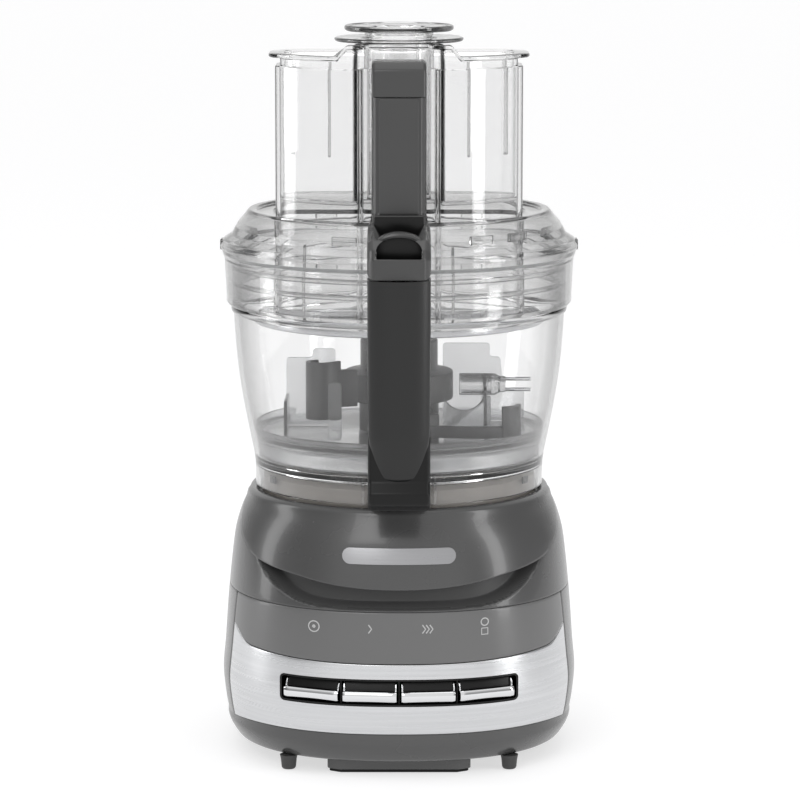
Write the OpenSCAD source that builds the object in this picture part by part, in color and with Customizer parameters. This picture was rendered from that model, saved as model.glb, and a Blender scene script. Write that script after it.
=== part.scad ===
// Countertop food processor with a twist-lock bowl, wide feed tube and belt drive.
// Millimetres. +Z is up, the front faces -Y, and the drive axis is the Z axis.

/* [Base] */
// Half of the base's greatest width
base_half_w = 99.8; // [98:0.1:100]
// Reach of the base to the front of the drive axis
base_front = 101; // [99:0.5:103]
// Reach of the base behind the drive axis
base_rear = 126; // [124:0.5:126]
// Squareness of the base's plan, 2 is an ellipse
base_power = 2.35; // [2.2:0.05:2.5]
// Wall of the plastic housings
wall = 2.8; // [2.4:0.1:3]
// Thickness of the steel band
band_t = 1.2; // [1:0.1:1.4]
// Height of the band's lower edge
band_low = 25; // [24:0.5:27]
// Height of the band's upper edge at the front
band_high = 64; // [62:0.5:66]
// Height of the base's top edge
base_top = 147; // [146:0.5:147]

/* [Buttons] */
// Half of the width of the button slot
slot_half_w = 65.5; // [62:0.5:67]
// Height of the slot's lower edge
slot_low = 41; // [40:0.5:42]
// Height of the slot's upper edge
slot_high = 56; // [55:0.5:57]
// Gap beside each button
button_gap = 0.5; // [0.4:0.05:0.8]

/* [Drive] */
// Distance of the motor behind the drive axis
motor_y = 62; // [61:0.5:63]
// Radius of the motor's pulley
motor_pulley_r = 9; // [8:0.5:10]
// Radius of the spindle's pulley
spindle_pulley_r = 45; // [42:0.5:46]
// Radius of the drive spindle inside the bowl
spindle_r = 8; // [7.5:0.1:8.2]

/* [Bowl] */
// Underside of the bowl's floor
bowl_floor = 161; // [160.8:0.1:161.2]
// Height of the bowl's rim
bowl_rim = 278; // [277:0.5:278]
// Wall of the clear bowl
bowl_wall = 2.6; // [2.2:0.1:2.6]
// Width of the handle
handle_w = 34; // [32:0.5:36]
// Reach of the handle to the front of the drive axis
handle_reach = 126; // [124:0.5:126]
// Thickness of the grip from front to back
grip_t = 16; // [14:0.5:17]

/* [Lid] */
// Radius of the bead round the lid
lid_r = 100.3; // [100:0.1:100.6]
// Half of the width of the feed tube
feed_half_w = 68; // [66:0.5:69]
// Top of the feed tube
feed_top = 386; // [382:0.5:387]
// Wall of the feed tube
feed_wall = 2.5; // [2.2:0.1:2.6]
// Top of the cover in front of the feed tube
cover_top = 391; // [389:0.5:393]

/* [Pushers] */
// Gap between the feed tube and the large pusher
pusher_gap = 0.6; // [0.5:0.05:0.8]
// Radius of the small pusher
small_r = 18; // [17:0.5:18.2]
// Radius of the small pusher's cap
cap_r = 30; // [28:0.5:32]
// Top of the small pusher's cap
cap_top = 408; // [407.5:0.5:409]

/* [Hidden] */

$fn = 96;
seg = 48;            // points round each ring of the base's shells
slip = 0.3;          // gap between pieces that move past each other
snug = 0.1;          // gap between a bearing and its shaft
weld = 0.05;         // gap left between curved faces that are joined
housing_grey = "#58595b";
panel_grey = "#66676a";
handle_grey = "#4c4d4f";
clear_grey = [0.86, 0.88, 0.9, 0.3];
smoke_grey = [0.62, 0.65, 0.68, 0.5];

// ---- Plan and profile of the base ----
function half_w(z) = base_half_w - lookup(z,
    [[8, 6.5], [18, 3.5], [32, 1], [44, 0], [60, 1.3], [84, 3], [112, 5.8], [122, 7.2], [129, 9],
     [136, 11.4], [143, 14.8], [147, 16]]);
function front_d(z) = base_front - lookup(z,
    [[8, 7], [18, 3.5], [32, 1], [44, 0], [60, 1], [91, 3], [112, 6.5], [129, 11], [143, 16.8], [147, 18]]);
function rear_d(z) = base_rear - lookup(z,
    [[8, 5], [18, 2.5], [32, 0.5], [44, 0], [91, 3], [112, 6], [129, 11], [143, 19], [147, 23]]);
function power(z) = lookup(z, [[60, base_power], [120, 2.15], [147, 2]]);
function ease(v, n) = sign(v) * pow(abs(v), 2 / n);
// One ring of points. rise lifts it away from the front, dent sinks it in at the front.
function ring(z, inset = 0, rise = 0, dent = 0) = [
    for (i = [0 : seg - 1])
        let (t = 360 * i / seg, c = cos(t), s = sin(t), front = max(0, -s))
        let (h = z + rise * (1 - front), k = inset + dent * pow(front, 1.5), n = power(h))
        [(half_w(h) - k) * ease(c, n), ((s < 0 ? front_d(h) : rear_d(h)) - k) * ease(s, n), h]
];
function round_ring(r, z) = [for (i = [0 : seg - 1]) [r * cos(360 * i / seg), r * sin(360 * i / seg), z]];
function front_y(x, z) = -front_d(z) * pow(1 - pow(abs(x) / half_w(z), power(z)), 1 / power(z));

// A closed band of wall that runs through all the rings and back to the first
module wall_loop(rings) {
    m = len(rings);
    polyhedron(
        points = [for (r = rings) each r],
        faces = [for (j = [0 : m - 1], i = [0 : seg - 1])
            let (a = j * seg, b = ((j + 1) % m) * seg, k = (i + 1) % seg)
            each [[a + i, b + i, b + k], [a + i, b + k, a + k]]],
        convexity = 6);
}

// A solid between stacked rings
module stack(rings) {
    m = len(rings);
    polyhedron(
        points = [for (r = rings) each r],
        faces = concat(
            [[for (i = [0 : seg - 1]) i]],
            [[for (i = [seg - 1 : -1 : 0]) (m - 1) * seg + i]],
            [for (j = [0 : m - 2], i = [0 : seg - 1])
                let (a = j * seg, b = (j + 1) * seg, k = (i + 1) % seg)
                each [[a + i, b + i, b + k], [a + i, b + k, a + k]]]),
        convexity = 4);
}

module tube(r_out, r_in, low, high) {
    difference() {
        translate([0, 0, low]) cylinder(r = r_out, h = high - low);
        translate([0, 0, low - 1]) cylinder(r = r_in, h = high - low + 2);
    }
}

module rod(r, low, high) {
    translate([0, 0, low]) cylinder(r = r, h = high - low);
}

module block(x0, x1, y0, y1, z0, z1) {
    translate([x0, y0, z0]) cube([x1 - x0, y1 - y0, z1 - z0]);
}

// A piece of a ring between two angles
module sector(r_in, r_out, a0, a1, low, high) {
    mid = (a0 + a1) / 2;
    intersection() {
        tube(r_out, r_in, low, high);
        translate([0, 0, low]) linear_extrude(high - low) polygon([
            [0, 0], 2 * r_out * [cos(a0), sin(a0)], 2 * r_out * [cos(mid), sin(mid)],
            2 * r_out * [cos(a1), sin(a1)]]);
    }
}

// ---- Base shells ----
tray_z = 8;
cover_inset = 9;
crescent_z = 103;
crescent_rise = 5;
panel_rise = 6.6;
ledge_z = 91.5;
seam = 0.15;
fascia_y = -40;      // where the front pieces meet the rear housing
foot_x = 61;
foot_front = -74;
foot_rear = 92;
screw_x = 60;
screw_y = [-50, 78];
boss_top = 30;

module each_screw() {
    for (x = [-screw_x, screw_x], y = screw_y) translate([x, y, 0]) children();
}

module slot_cut() {
    block(-slot_half_w, slot_half_w, -base_front - 5, -62, slot_low, slot_high);
}

module lower_housing() color(housing_grey) {
    difference() {
        wall_loop([
            ring(tray_z, cover_inset - 3), ring(tray_z + 1, 2.5), ring(tray_z + 4), ring(18),
            ring(band_low - seam), ring(band_low - seam, band_t + 0.2), ring(44, band_t + 0.2),
            ring(band_high - 4, band_t + 0.2), ring(band_high - 4, band_t + wall),
            ring(44, band_t + wall), ring(22, wall), ring(tray_z + 4, wall),
            ring(tray_z + 4, cover_inset), ring(tray_z, cover_inset)]);
        slot_cut();
        // The upstand behind the band is only at the front
        block(-120, 120, fascia_y, 140, band_low - seam, band_high);
    }
    each_screw() tube(5, 1.7, tray_z + 4, boss_top);
}

module front_half() {
    intersection() {
        children();
        block(-120, 120, -140, fascia_y, tray_z, base_top);
    }
}

module steel_band() color("#b9bbbd") difference() {
    front_half() wall_loop([
        ring(band_low), ring(32), ring(38), ring(44), ring(54), ring(band_high, 0, panel_rise),
        ring(band_high, band_t, panel_rise), ring(54, band_t), ring(44, band_t), ring(38, band_t),
        ring(32, band_t), ring(band_low, band_t)]);
    slot_cut();
}

module control_panel() color(panel_grey) front_half() wall_loop([
    ring(band_high + seam, 0, panel_rise), ring(78, 0, 3), ring(ledge_z - 1), ring(ledge_z + 1, 1, 0, 1.5),
    ring(ledge_z + 3, 2.2, 0, 5), ring(crescent_z - 1.5, 3.1, crescent_rise, 5),
    ring(crescent_z - 1.5, wall + 3, crescent_rise, 5), ring(ledge_z, wall + 2.4, 0, 5),
    ring(78, wall + 0.4, 3, 2), ring(band_high + seam, wall, panel_rise)]);

module rear_housing() color(housing_grey) difference() {
    wall_loop([
        ring(band_low), ring(32), ring(38), ring(44), ring(54), ring(64), ring(84), ring(96),
        ring(crescent_z - seam, 0, crescent_rise), ring(crescent_z - seam, wall, crescent_rise),
        ring(84, wall), ring(54, wall), ring(38, wall), ring(band_low, wall)]);
    block(-120, 120, -140, fascia_y + seam, tray_z, base_top);
    gland_cut(gland_r);
}

module upper_housing() color(housing_grey) wall_loop([
    ring(crescent_z, 0, crescent_rise), ring(112), ring(118), ring(124), ring(129), ring(134),
    ring(139), ring(143), ring(146), ring(base_top, 1.2), round_ring(80, base_top),
    round_ring(80, base_top - 3), ring(143, wall + 1), ring(136, wall), ring(124, wall),
    ring(112, wall), ring(crescent_z, wall, crescent_rise)]);

module bottom_cover() color("#3a3a3c") difference() {
    stack([ring(tray_z, cover_inset + slip), ring(tray_z + 2.6, cover_inset + slip)]);
    each_screw() rod(2, tray_z - 1, tray_z + 4);
    for (y = [-24, -12, 12, 24]) block(-30, 30, y - 2, y + 2, tray_z - 1, tray_z + 4);
}

module housing_screws() color("#8c8e90") each_screw() {
    rod(4, tray_z - 2, tray_z);
    rod(1.65, tray_z, boss_top - 4);
}

module rubber_feet() color("#4c4d4f")
    for (x = [-foot_x, foot_x], y = [foot_front, foot_rear]) translate([x, y, 0])
        rotate_extrude() polygon([[0, 0], [3.4, 0], [4, 0.8], [4.4, 5.4], [5, tray_z], [0, tray_z]]);

module front_skid() color(housing_grey)
    translate([0, 0, 1.6]) linear_extrude(tray_z - 1.6)
        polygon([[-39.5, -80], [-33, -84], [33, -84], [39.5, -80], [39.5, -66], [-39.5, -66]]);

module skid_pad() color("#232324")
    linear_extrude(1.6) polygon([[-37, -79], [-32, -82], [32, -82], [37, -79], [37, -68], [-37, -68]]);

// ---- Mains inlet at the back ----
gland_r = 7;
gland_x = 45;
gland_z = 34;
gland_y = rear_d(gland_z) * pow(1 - pow(gland_x / half_w(gland_z), power(gland_z)), 1 / power(gland_z));

module gland_cut(r) {
    translate([gland_x, gland_y - 18, gland_z]) rotate([-90, 0, 0]) cylinder(r = r, h = 40);
}

module cord_gland() color("#232324") translate([gland_x, gland_y, gland_z]) rotate([-90, 0, 0]) {
    difference() {
        union() {
            translate([0, 0, -12]) cylinder(r = gland_r - 0.05, h = 13);
            translate([0, 0, -14]) cylinder(r = gland_r + 2.5, h = 2);
        }
        translate([0, 0, -15]) cylinder(r = 3.6, h = 20);
    }
}

// ---- Buttons ----
slot_mid = (slot_low + slot_high) / 2;
button_h = slot_high - slot_low - 3;
frame_t = 5;
function slot_x(i) = -slot_half_w + 1.5 + i * (2 * slot_half_w - 3) / 4;
function slot_point(i) = [slot_x(i), front_y(slot_x(i), slot_mid)];
function button_mid(i) = (slot_point(i) + slot_point(i + 1)) / 2;
function button_turn(i) = let (d = slot_point(i + 1) - slot_point(i)) atan2(d[1], d[0]);
function button_w(i) = norm(slot_point(i + 1) - slot_point(i)) - 1.2;

module at_button(i) {
    translate([button_mid(i)[0], button_mid(i)[1], slot_mid]) rotate([0, 0, button_turn(i)]) children();
}

module button_frame() color("#1c1c1e") difference() {
    for (i = [0 : 3]) at_button(i)
        block(-button_w(i) / 2 - 0.6, button_w(i) / 2 + 0.6, 1.6, 1.6 + frame_t,
            -button_h / 2 - 1.2, button_h / 2 + 1.2);
    for (i = [0 : 3]) at_button(i)
        block(-button_w(i) / 2, button_w(i) / 2, -5, 20, -button_h / 2, button_h / 2);
}

module button(i) color("#d5d7d9") at_button(i) {
    w = button_w(i) - 2 * button_gap;
    translate([-w / 2, 0, 0]) rotate([90, 0, 90]) linear_extrude(w)
        polygon([
            [3, 5.6], [2, 4.6], [1, 0.2], [-0.4, -0.6], [-1.2, -2.4], [-0.6, -4.6], [1.2, -5.6], [3, -5.6]]);
    block(-w / 2 + 1.5, w / 2 - 1.5, 3, 6, -5.6, 5.6);
    rotate([-90, 0, 0]) translate([0, 0, 6]) cylinder(r = 2, h = 6);
}
module button_1() button(0);
module button_2() button(1);
module button_3() button(2);
module button_4() button(3);

module button_switches() color("#2a2c30") for (i = [0 : 3]) at_button(i) {
    block(-5, 5, 15, 20, -4, 4);
}

module switch_board() color("#2f5b3c") for (i = [0 : 3]) at_button(i)
    block(-button_w(i) / 2 + 2, button_w(i) / 2 - 2, 20, 21.6, -7, 7);

module control_board() color("#2f5b3c") {
    block(-44, 44, -66, -32, 84, 85.6);
    block(-36, -18, -60, -44, 85.6, 97);
    block(4, 24, -62, -40, 85.6, 95);
    translate([34, -50, 85.6]) cylinder(r = 5, h = 12);
}

// ---- Drive train ----
pulley_low = 15;
pulley_high = 27;
spindle_low = 12.5;
spindle_top = 192;
core_low = 60;
core_high = 94;
motor_top = 128;
post_reach = 42;     // from the motor's axis to each of its posts

module at_motor() {
    translate([0, motor_y, 0]) children();
}

// Outline of a belt round both pulleys, grown by t
function belt_outline(t) =
    let (r1 = spindle_pulley_r + t, r2 = motor_pulley_r + t, lean = asin((r1 - r2) / motor_y))
    concat(arc([0, 0], r1, 180 - lean, 360 + lean, 48), arc([0, motor_y], r2, lean, 180 - lean, 16));

module drive_belt() color("#1e1e20") translate([0, 0, pulley_low + 2]) linear_extrude(8) difference() {
    polygon(belt_outline(slip + 2));
    polygon(belt_outline(slip));
}

module pulley(r, bore) {
    difference() {
        rod(r, pulley_low + 1.6, pulley_high - 1.6);
        rod(bore, pulley_low - 1, pulley_high + 1);
    }
}

module spindle_pulley() color("#3b3d41") difference() {
    pulley(spindle_pulley_r, 6);
    for (a = [0 : 60 : 300]) rotate([0, 0, a]) translate([26, 0, 0]) rod(9, pulley_low - 1, pulley_high + 1);
}

module motor_pulley() color("#8f9194") at_motor() pulley(motor_pulley_r, 4);

module drive_spindle() color("#9c9ea1") {
    rod(6, spindle_low, 134);
    rod(spindle_r, 134, 174);
    // Two wide grooves take the ribs in the blade's hub, with room for the bowl's twist
    difference() {
        rod(spindle_r, 174, spindle_top);
        for (k = [0, 180]) rotate([0, 0, k]) sector(spindle_r - 1.8, 12, -28, 12, 173, spindle_top + 1);
    }
}

module spindle_housing() color("#77797c") {
    difference() {
        union() {
            tube(19, 16, 56, 132);
            tube(19, 7, 90, 94);
            tube(34, 16, 132, 138);
        }
        for (a = [45 : 90 : 315]) rotate([0, 0, a]) translate([27, 0, 130]) cylinder(r = 2, h = 10);
    }
}

module spindle_bearings() color("#a9abad") {
    tube(15.9, 6 + snug, 60, 70);
    tube(15.9, 6 + snug, 118, 128);
}

module motor_rotor() color("#6b5a4a") at_motor() {
    rod(4, 12.5, motor_top);
    tube(21, 4, core_low, core_high);
    tube(17, 4, core_low - 6, core_low);
    tube(17, 4, core_high, core_high + 6);
}

module commutator() color("#b8733a") at_motor() tube(11, 4, core_high + 8, core_high + 18);

module motor_stator() color("#6d6f72") at_motor() difference() {
    rod(36, core_low, core_high);
    rod(21 + 2 * slip, core_low - 1, core_high + 1);
    for (a = [45 : 90 : 315]) rotate([0, 0, a]) translate([31.5, 0, 0]) rod(2, core_low - 1, core_high + 1);
}

module field_coils() color("#b8733a") at_motor() {
    tube(32, 23, core_low - 9, core_low);
    tube(32, 23, core_high, core_high + 9);
}

module brush_holders() color("#2a2c30") at_motor()
    for (s = [-1, 1]) block(s > 0 ? 11.6 : -19, s > 0 ? 19 : -11.6, -4, 4, core_high + 10, core_high + 16);

module motor_bridge() color("#85878a") at_motor() {
    // Two bearing plates and a clamp ring on four posts
    tube(38, 8, 31, 34);
    tube(38, 8, 116, 119);
    tube(39, 36 + weld, core_low + 12, core_low + 18);
    for (a = [0, 60, 120, 180]) rotate([0, 0, a]) {
        translate([post_reach, 0, 0]) rod(3, tray_z + 2.6, 122);
        for (h = [31, 116]) block(36, post_reach, -2.5, 2.5, h, h + 3);
        block(38, post_reach, -2.5, 2.5, core_low + 12.5, core_low + 17.5);
    }
}

module motor_bearings() color("#a9abad") at_motor() {
    tube(8, 4 + snug, 29, 36);
    tube(8, 4 + snug, 114, 121);
}

module cooling_fan() color("#d8d8d2") at_motor() {
    tube(6, 4, 38, 46);
    difference() {
        tube(30, 6, 38, 39.2);
        for (a = [0 : 30 : 330]) rotate([0, 0, a]) translate([11, 0, 0]) rod(2, 37, 41);
    }
    for (a = [0 : 30 : 330]) rotate([0, 0, a]) block(15, 29, -0.6, 0.6, 39.2, 47);
}

// ---- Platform that the bowl stands on ----
platform_r = 79.6;
collar_r = 77.4;
ring_low = 144;
ring_high = 158.6;
seal_low = 155.5;
lug_low = 153.7;

module bowl_platform() color(housing_grey) difference() {
    union() {
        rod(platform_r, 138, ring_low);
        tube(24, spindle_r + 2, ring_low, bowl_floor - 0.8);
    }
    rod(spindle_r + slip, 130, bowl_floor);
    rod(spindle_r + 5, seal_low, bowl_floor);
}

module platform_ring() color("#a29e97") tube(collar_r, 66, ring_low, ring_high);

module lock_lugs() color("#17171a")
    for (a = [28, 152, 208, 332]) rotate([0, 0, a])
        block(collar_r + 0.1, collar_r + 0.8, -3, 3, lug_low, lug_low + 4);

module shaft_seal() color("#1e1e20") tube(spindle_r + 5, spindle_r + slip, seal_low, bowl_floor - 1.4);

module interlock_switch() color("#2a2c30") {
    block(-8, 8, -76, -64, 126, 137.5);
    block(-2, 2, -72, -68, 124, 126);
}

module seat_ring() color("#2b2b2d") tube(74, 68, ring_high + slip, bowl_floor - slip);

// ---- Bowl ----
bowl_levels = [154.5, 165, 176, 185, 195, 213.5, 232];
function bowl_r(z) = lookup(z,
    [[154.5, 81], [162, 81.4], [176, 83.9], [185, 85.7], [195, 87.6], [213.5, 90.4], [232, 92.1],
     [246, 92.9], [bowl_rim, 93.6]]);
skirt_low = base_top + 1.6;
centre_tube_top = 172;

module work_bowl() color(clear_grey) rotate_extrude($fn = 128) polygon(concat(
    [[81, skirt_low]],
    [for (z = bowl_levels) [bowl_r(z), z]],
    [[bowl_r(246), 246], [94.3, 247.2], [94.3, 249.4], [93.2, 250.4], [bowl_r(bowl_rim), bowl_rim],
     [bowl_r(bowl_rim) - bowl_wall, bowl_rim], [bowl_r(246) - bowl_wall, 246]],
    [for (i = [len(bowl_levels) - 1 : -1 : 1]) [bowl_r(bowl_levels[i]) - bowl_wall, bowl_levels[i]]],
    [[76.5, bowl_floor + bowl_wall], [13, bowl_floor + bowl_wall], [13, centre_tube_top],
     [spindle_r + 2.5, centre_tube_top], [spindle_r + 2.5, bowl_floor], [81 - bowl_wall, bowl_floor],
     [81 - bowl_wall, skirt_low]]));

// ---- Handle ----
grip_back = -handle_reach + grip_t;
handle_top = 277;
handle_low = 154;
rod_y = -handle_reach + 8;

module handle_side() {
    polygon([
        [-78, 160], [-96, 156], [-112, handle_low], [-120, handle_low + 1],
        [-handle_reach + 1.5, handle_low + 6],
        [-handle_reach, 190], [-handle_reach, handle_top - 4], [-handle_reach + 4, handle_top],
        [-101.4, handle_top], [-101.4, 249.2], [-90, 249.2], [-90, 240], [-100, 238], [grip_back + 3, 234],
        [grip_back, 226], [grip_back, 186], [grip_back + 3, 178], [-100, 173], [-78, 170]]);
}

module handle_solid() {
    translate([-handle_w / 2, 0, 0]) rotate([90, 0, 90]) linear_extrude(handle_w) handle_side();
}

module bowl_handle() color(handle_grey) difference() {
    handle_solid();
    // The bowl's outside, which the two arms are welded to
    rotate_extrude($fn = 128) polygon(concat(
        [[0, 150], [81 + weld, 150]],
        [for (z = bowl_levels) [bowl_r(z) + weld, z]],
        [[bowl_r(246) + weld, 246], [94.3 + weld, 247.2], [94.3 + weld, 260], [0, 260]]));
    translate([0, rod_y, 0]) {
        rod(3, 150, handle_top + 1);
        rod(5.5, 228, handle_top - 3);
    }
}

module interlock_rod() color("#c9c9c4") translate([0, rod_y, 0]) {
    rod(2.6, handle_low + 6, handle_top - 1);
    rod(5, 262, 265);
}

module rod_spring() color("#9b9da0") translate([0, rod_y, 0]) tube(4.6, 3.4, 228.2, 261.8);

// ---- Stored accessories ----
caddy_floor = 177;
caddy_foot = 165.8;
caddy_t = 1.8;

module storage_caddy() color(smoke_grey) {
    difference() {
        rotate_extrude($fn = 128) polygon([
            [78.4, caddy_foot], [80.6, 176], [82.2, 183], [80.4, 183], [79.4, caddy_floor + caddy_t],
            [21, caddy_floor + caddy_t], [21, caddy_floor], [78.6, caddy_floor], [76.6, caddy_foot]]);
        translate([60, -12, 170]) cylinder(r = 6, h = 20);
    }
    // Upright dividers that cradle the accessories
    upright(8, [[-64, hub_low], [-64, 218], [-49, 218], [-49, 223], [-36, 223], [-36, hub_low]]);
    upright(-47, [[-39, hub_low], [-39, 212], [-31.5, 212], [-31.5, hub_low]]);
    upright(24, [
        [25, hub_low], [25, 224], [52, 224], [52, 216], [58, 216], [60, 197], [72, 197], [72, hub_low]]);
    difference() {
        upright(-26, [[25, hub_low], [25, 201], [51, 201], [51, hub_low]]);
        translate([36, -30, 205]) rotate([-90, 0, 0]) cylinder(r = 12, h = 10);
    }
    block(-64, -62.2, -26, 8, hub_low, 198);
    difference() {
        block(47, 48.8, -24.2, 24, hub_low, 206);
        translate([46, adapter_y, adapter_z]) rotate([0, 90, 0]) cylinder(r = adapter_r + slip, h = 4);
        block(46, 50, adapter_y - adapter_r - slip, adapter_y + adapter_r + slip, adapter_z, 207);
    }
}

// A thin upright plate across the caddy with the given outline
module upright(y, outline) {
    translate([0, y + caddy_t, 0]) rotate([90, 0, 0]) linear_extrude(caddy_t) polygon(outline);
}

adapter_z = 204;
adapter_r = 6.2;
adapter_y = 0;
hub_low = caddy_floor + caddy_t;
hub_r = 33;

module dough_blade() color("#4a4c50") {
    difference() {
        union() {
            rod(22.4, hub_low, 194);
            rod(hub_r, 194, 213);
            rod(21.8, 213, 230);
            // Left paddle with its curled tip
            block(-46, -20, -34, -28, 187, 207);
            translate([-45, -31, 186]) cylinder(r = 9, h = 33);
            // Right paddle, low against the caddy's floor
            block(14, 62, -38, -33, hub_low + 1, 192);
            translate([62, -34, hub_low + 1]) cylinder(r = 7, h = 18);
            block(12, 24, -38, -14, hub_low + 1, 192);
        }
        rod(17.4, hub_low - 1, 206);
    }
}

module stem_adapter() color(smoke_grey)
    translate([0, adapter_y, adapter_z]) rotate([0, 90, 0]) difference() {
    rotate_extrude() polygon([
        [0, 33.6], [adapter_r, 33.6], [adapter_r, 54], [4.6, 57.5], [4.6, 60], [0, 60]]);
    translate([0, 0, 33]) cylinder(r = 4.2, h = 19);
}

module adapter_prongs() color("#b9bbbd") for (s = [-1, 1])
    translate([60, adapter_y, adapter_z + 3 * s]) rotate([0, 90, 0]) cylinder(r = 1.1, h = 14.6);

disc_r = 80.8;
disc_low = 241;

module slicing_disc() color("#c4c6c8") {
    difference() {
        union() {
            rod(disc_r - 1.6, disc_low, disc_low + 1.2);
            tube(disc_r, disc_r - 1.6, disc_low - 0.4, disc_low + 4);
        }
        rod(12, disc_low - 2, disc_low + 6);
        block(16, 70, -9, 3, disc_low - 1, disc_low + 3);
        block(-70, -16, -3, 9, disc_low - 1, disc_low + 3);
    }
    for (a = [0, 180]) rotate([0, 0, a]) translate([0, 0, disc_low + 1.2])
        linear_extrude(1.2) polygon([[16, 3], [70, 3], [70, 14], [16, 10]]);
}

module disc_hub() color("#3b3d41") difference() {
    union() {
        rod(21, 230, disc_low);
        rod(12, disc_low, disc_low + 1.2);
        rod(15, disc_low + 1.2, disc_low + 5);
        rod(11, disc_low + 5, disc_low + 8);
    }
    rod(spindle_r + 0.4, 229, disc_low + 5.5);
}

// ---- Chopping blade ----
blade_reach = 74;
blade_low = 165.6;
blade_step = 7;

module blade_hub() color("#4a4c50") difference() {
    rod(16, bowl_floor + bowl_wall + 0.8, 196);
    rod(13 + slip, bowl_floor, centre_tube_top + 1);
    difference() {
        rod(spindle_r + slip, centre_tube_top, spindle_top + 0.6);
        for (k = [0, 180]) rotate([0, 0, k]) sector(spindle_r - 1.4, 12, -2, 8, 175, spindle_top + 1);
    }
}

// A crescent blade that sweeps back as it reaches out
module crescent() {
    steps = 12;
    function edge(t, lag) =
        let (r = 15 + (blade_reach - 15) * t, a = 58 * pow(t, 1.4) + lag)
        [r * cos(a), r * sin(a)];
    polygon(concat(
        [for (i = [0 : steps]) edge(i / steps, 0)],
        [for (i = [steps : -1 : 0]) edge(i / steps, -24 * (1 - i / steps) - 5)]));
}

module chopping_blades() color("#c8cacc") difference() {
    for (k = [0, 1]) translate([0, 0, blade_low + blade_step * k])
        rotate([0, 0, 180 * k + 20]) linear_extrude(1.4) {
        crescent();
        circle(r = 19.5);
    }
    rod(16, 163, 180);
}

// ---- Lid ----
lid_plate = 303.5;
plate_t = 2.5;
lid_low = 250.6;
feed_back = -6;
feed_arc_r = 80;
notch_half_w = 19.5;
notch_y = -62;
cover_back = notch_y - 2.6;
cover_half_w = 15.6;
cover_front = -90;
cap_seam = 372;
feed_low = 250;
small_y = -34;

function arc(c, r, a0, a1, n = 8) =
    [for (i = [0 : n]) let (a = a0 + (a1 - a0) * i / n) c + r * [cos(a), sin(a)]];
// Plan of the feed tube, moved inwards by t. It is a slab of a circle with a notch at the front.
function feed_plan(t) =
    let (side_r = 14, tip_r = 6, root_r = 4)
    let (side_x = feed_half_w - side_r, back_y = feed_back - side_r)
    let (front_y = -sqrt(pow(feed_arc_r - side_r, 2) - side_x * side_x))
    let (tip_x = notch_half_w + tip_r, tip_y = -sqrt(pow(feed_arc_r - tip_r, 2) - tip_x * tip_x))
    let (side_a = atan2(-front_y, side_x), tip_a = atan2(-tip_y, tip_x))
    concat(
        arc([side_x, back_y], side_r - t, 0, 90),
        arc([-side_x, back_y], side_r - t, 90, 180),
        arc([-side_x, front_y], side_r - t, 180, 180 + side_a, 5),
        arc([0, 0], feed_arc_r - t, 182 + side_a, 179 + tip_a, 5),
        arc([-tip_x, tip_y], tip_r - t, 180 + tip_a, 360),
        arc([-notch_half_w + root_r, notch_y - root_r], root_r + t, 180, 90, 5),
        arc([notch_half_w - root_r, notch_y - root_r], root_r + t, 90, 0, 5),
        arc([tip_x, tip_y], tip_r - t, 180, 360 - tip_a),
        arc([0, 0], feed_arc_r - t, 361 - tip_a, 358 - side_a, 5),
        arc([side_x, front_y], side_r - t, 360 - side_a, 360, 5));

module feed_prism(t, low, high) {
    translate([0, 0, low]) linear_extrude(high - low) polygon(feed_plan(t));
}

module lid_shell() color(clear_grey) difference() {
    rotate_extrude($fn = 128) polygon([
        [0, lid_plate], [84, lid_plate], [87.3, 300], [90, 297], [92, 293.5], [93.8, 290], [98.9, 286.8],
        [lid_r, 283.3], [99.7, 280], [98, 276.5], [96.6, 253], [95.6, lid_low], [94.7, lid_low],
        [95.2, 276], [97, 280], [97, 283.3], [95.5, 285.4], [91.2, 288.5], [89.4, 293], [87.4, 296],
        [84.6, 299], [82.6, lid_plate - plate_t], [0, lid_plate - plate_t]]);
    feed_prism(0, 290, 310);
}

module feed_tube() color(clear_grey) difference() {
    feed_prism(0, feed_low, feed_top);
    feed_prism(feed_wall, feed_low - 1, feed_top + 1);
}

module lid_seal() color([0.7, 0.7, 0.7, 0.8]) tube(94.6, 90.6, bowl_rim + slip, bowl_rim + 2.2);

module cover_side() {
    polygon([
        [cover_back, lid_plate + 0.2], [cover_back, cap_seam], [cover_front, cap_seam], [cover_front, 310],
        [-93, 306.5], [-100, 303], [-115, 298], [-handle_reach + 3, 292], [-handle_reach, 288.5],
        [-handle_reach, handle_top + 0.6], [-101.6, handle_top + 0.6], [-101.6, 288.6], [-95.6, 291.4],
        [-93.6, 294.8], [-91, 298.4], [-86, lid_plate + 0.2]]);
}

module lid_cover() color(handle_grey) difference() {
    translate([-cover_half_w, 0, 0]) rotate([90, 0, 90]) linear_extrude(2 * cover_half_w) cover_side();
    // Arched mouth over the block that meets the handle
    intersection() {
        translate([0, -handle_reach - 4, 289.6]) rotate([-90, 0, 0])
            cylinder(r = 12.6, h = handle_reach - 98);
        block(-14, 14, -handle_reach - 5, -95, 289.6, 304);
    }
    block(-14.4, 14.4, cover_front - 1, cover_front + 1, 316, cap_seam - 1);
}

module cover_cap() color(handle_grey) translate([-cover_half_w, 0, 0]) rotate([90, 0, 90])
    linear_extrude(2 * cover_half_w) polygon([
        [cover_back, cap_seam + 0.2], [cover_back, cover_top - 1], [cover_back - 1, cover_top],
        [cover_front + 4, cover_top], [cover_front, cover_top - 5], [cover_front, cap_seam + 0.2]]);

// ---- Pushers ----
pusher_t = feed_wall + pusher_gap;
pusher_wall = 2;
pusher_low = 312;
rib_low = 338;
flange_low = feed_top + 4.6;
flange_high = flange_low + 2.2;
mouth_r = 35.5;
mouth_low = flange_high + 6.2;
mouth_high = mouth_low + 2.4;
guide_r = small_r + 0.6;

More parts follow.
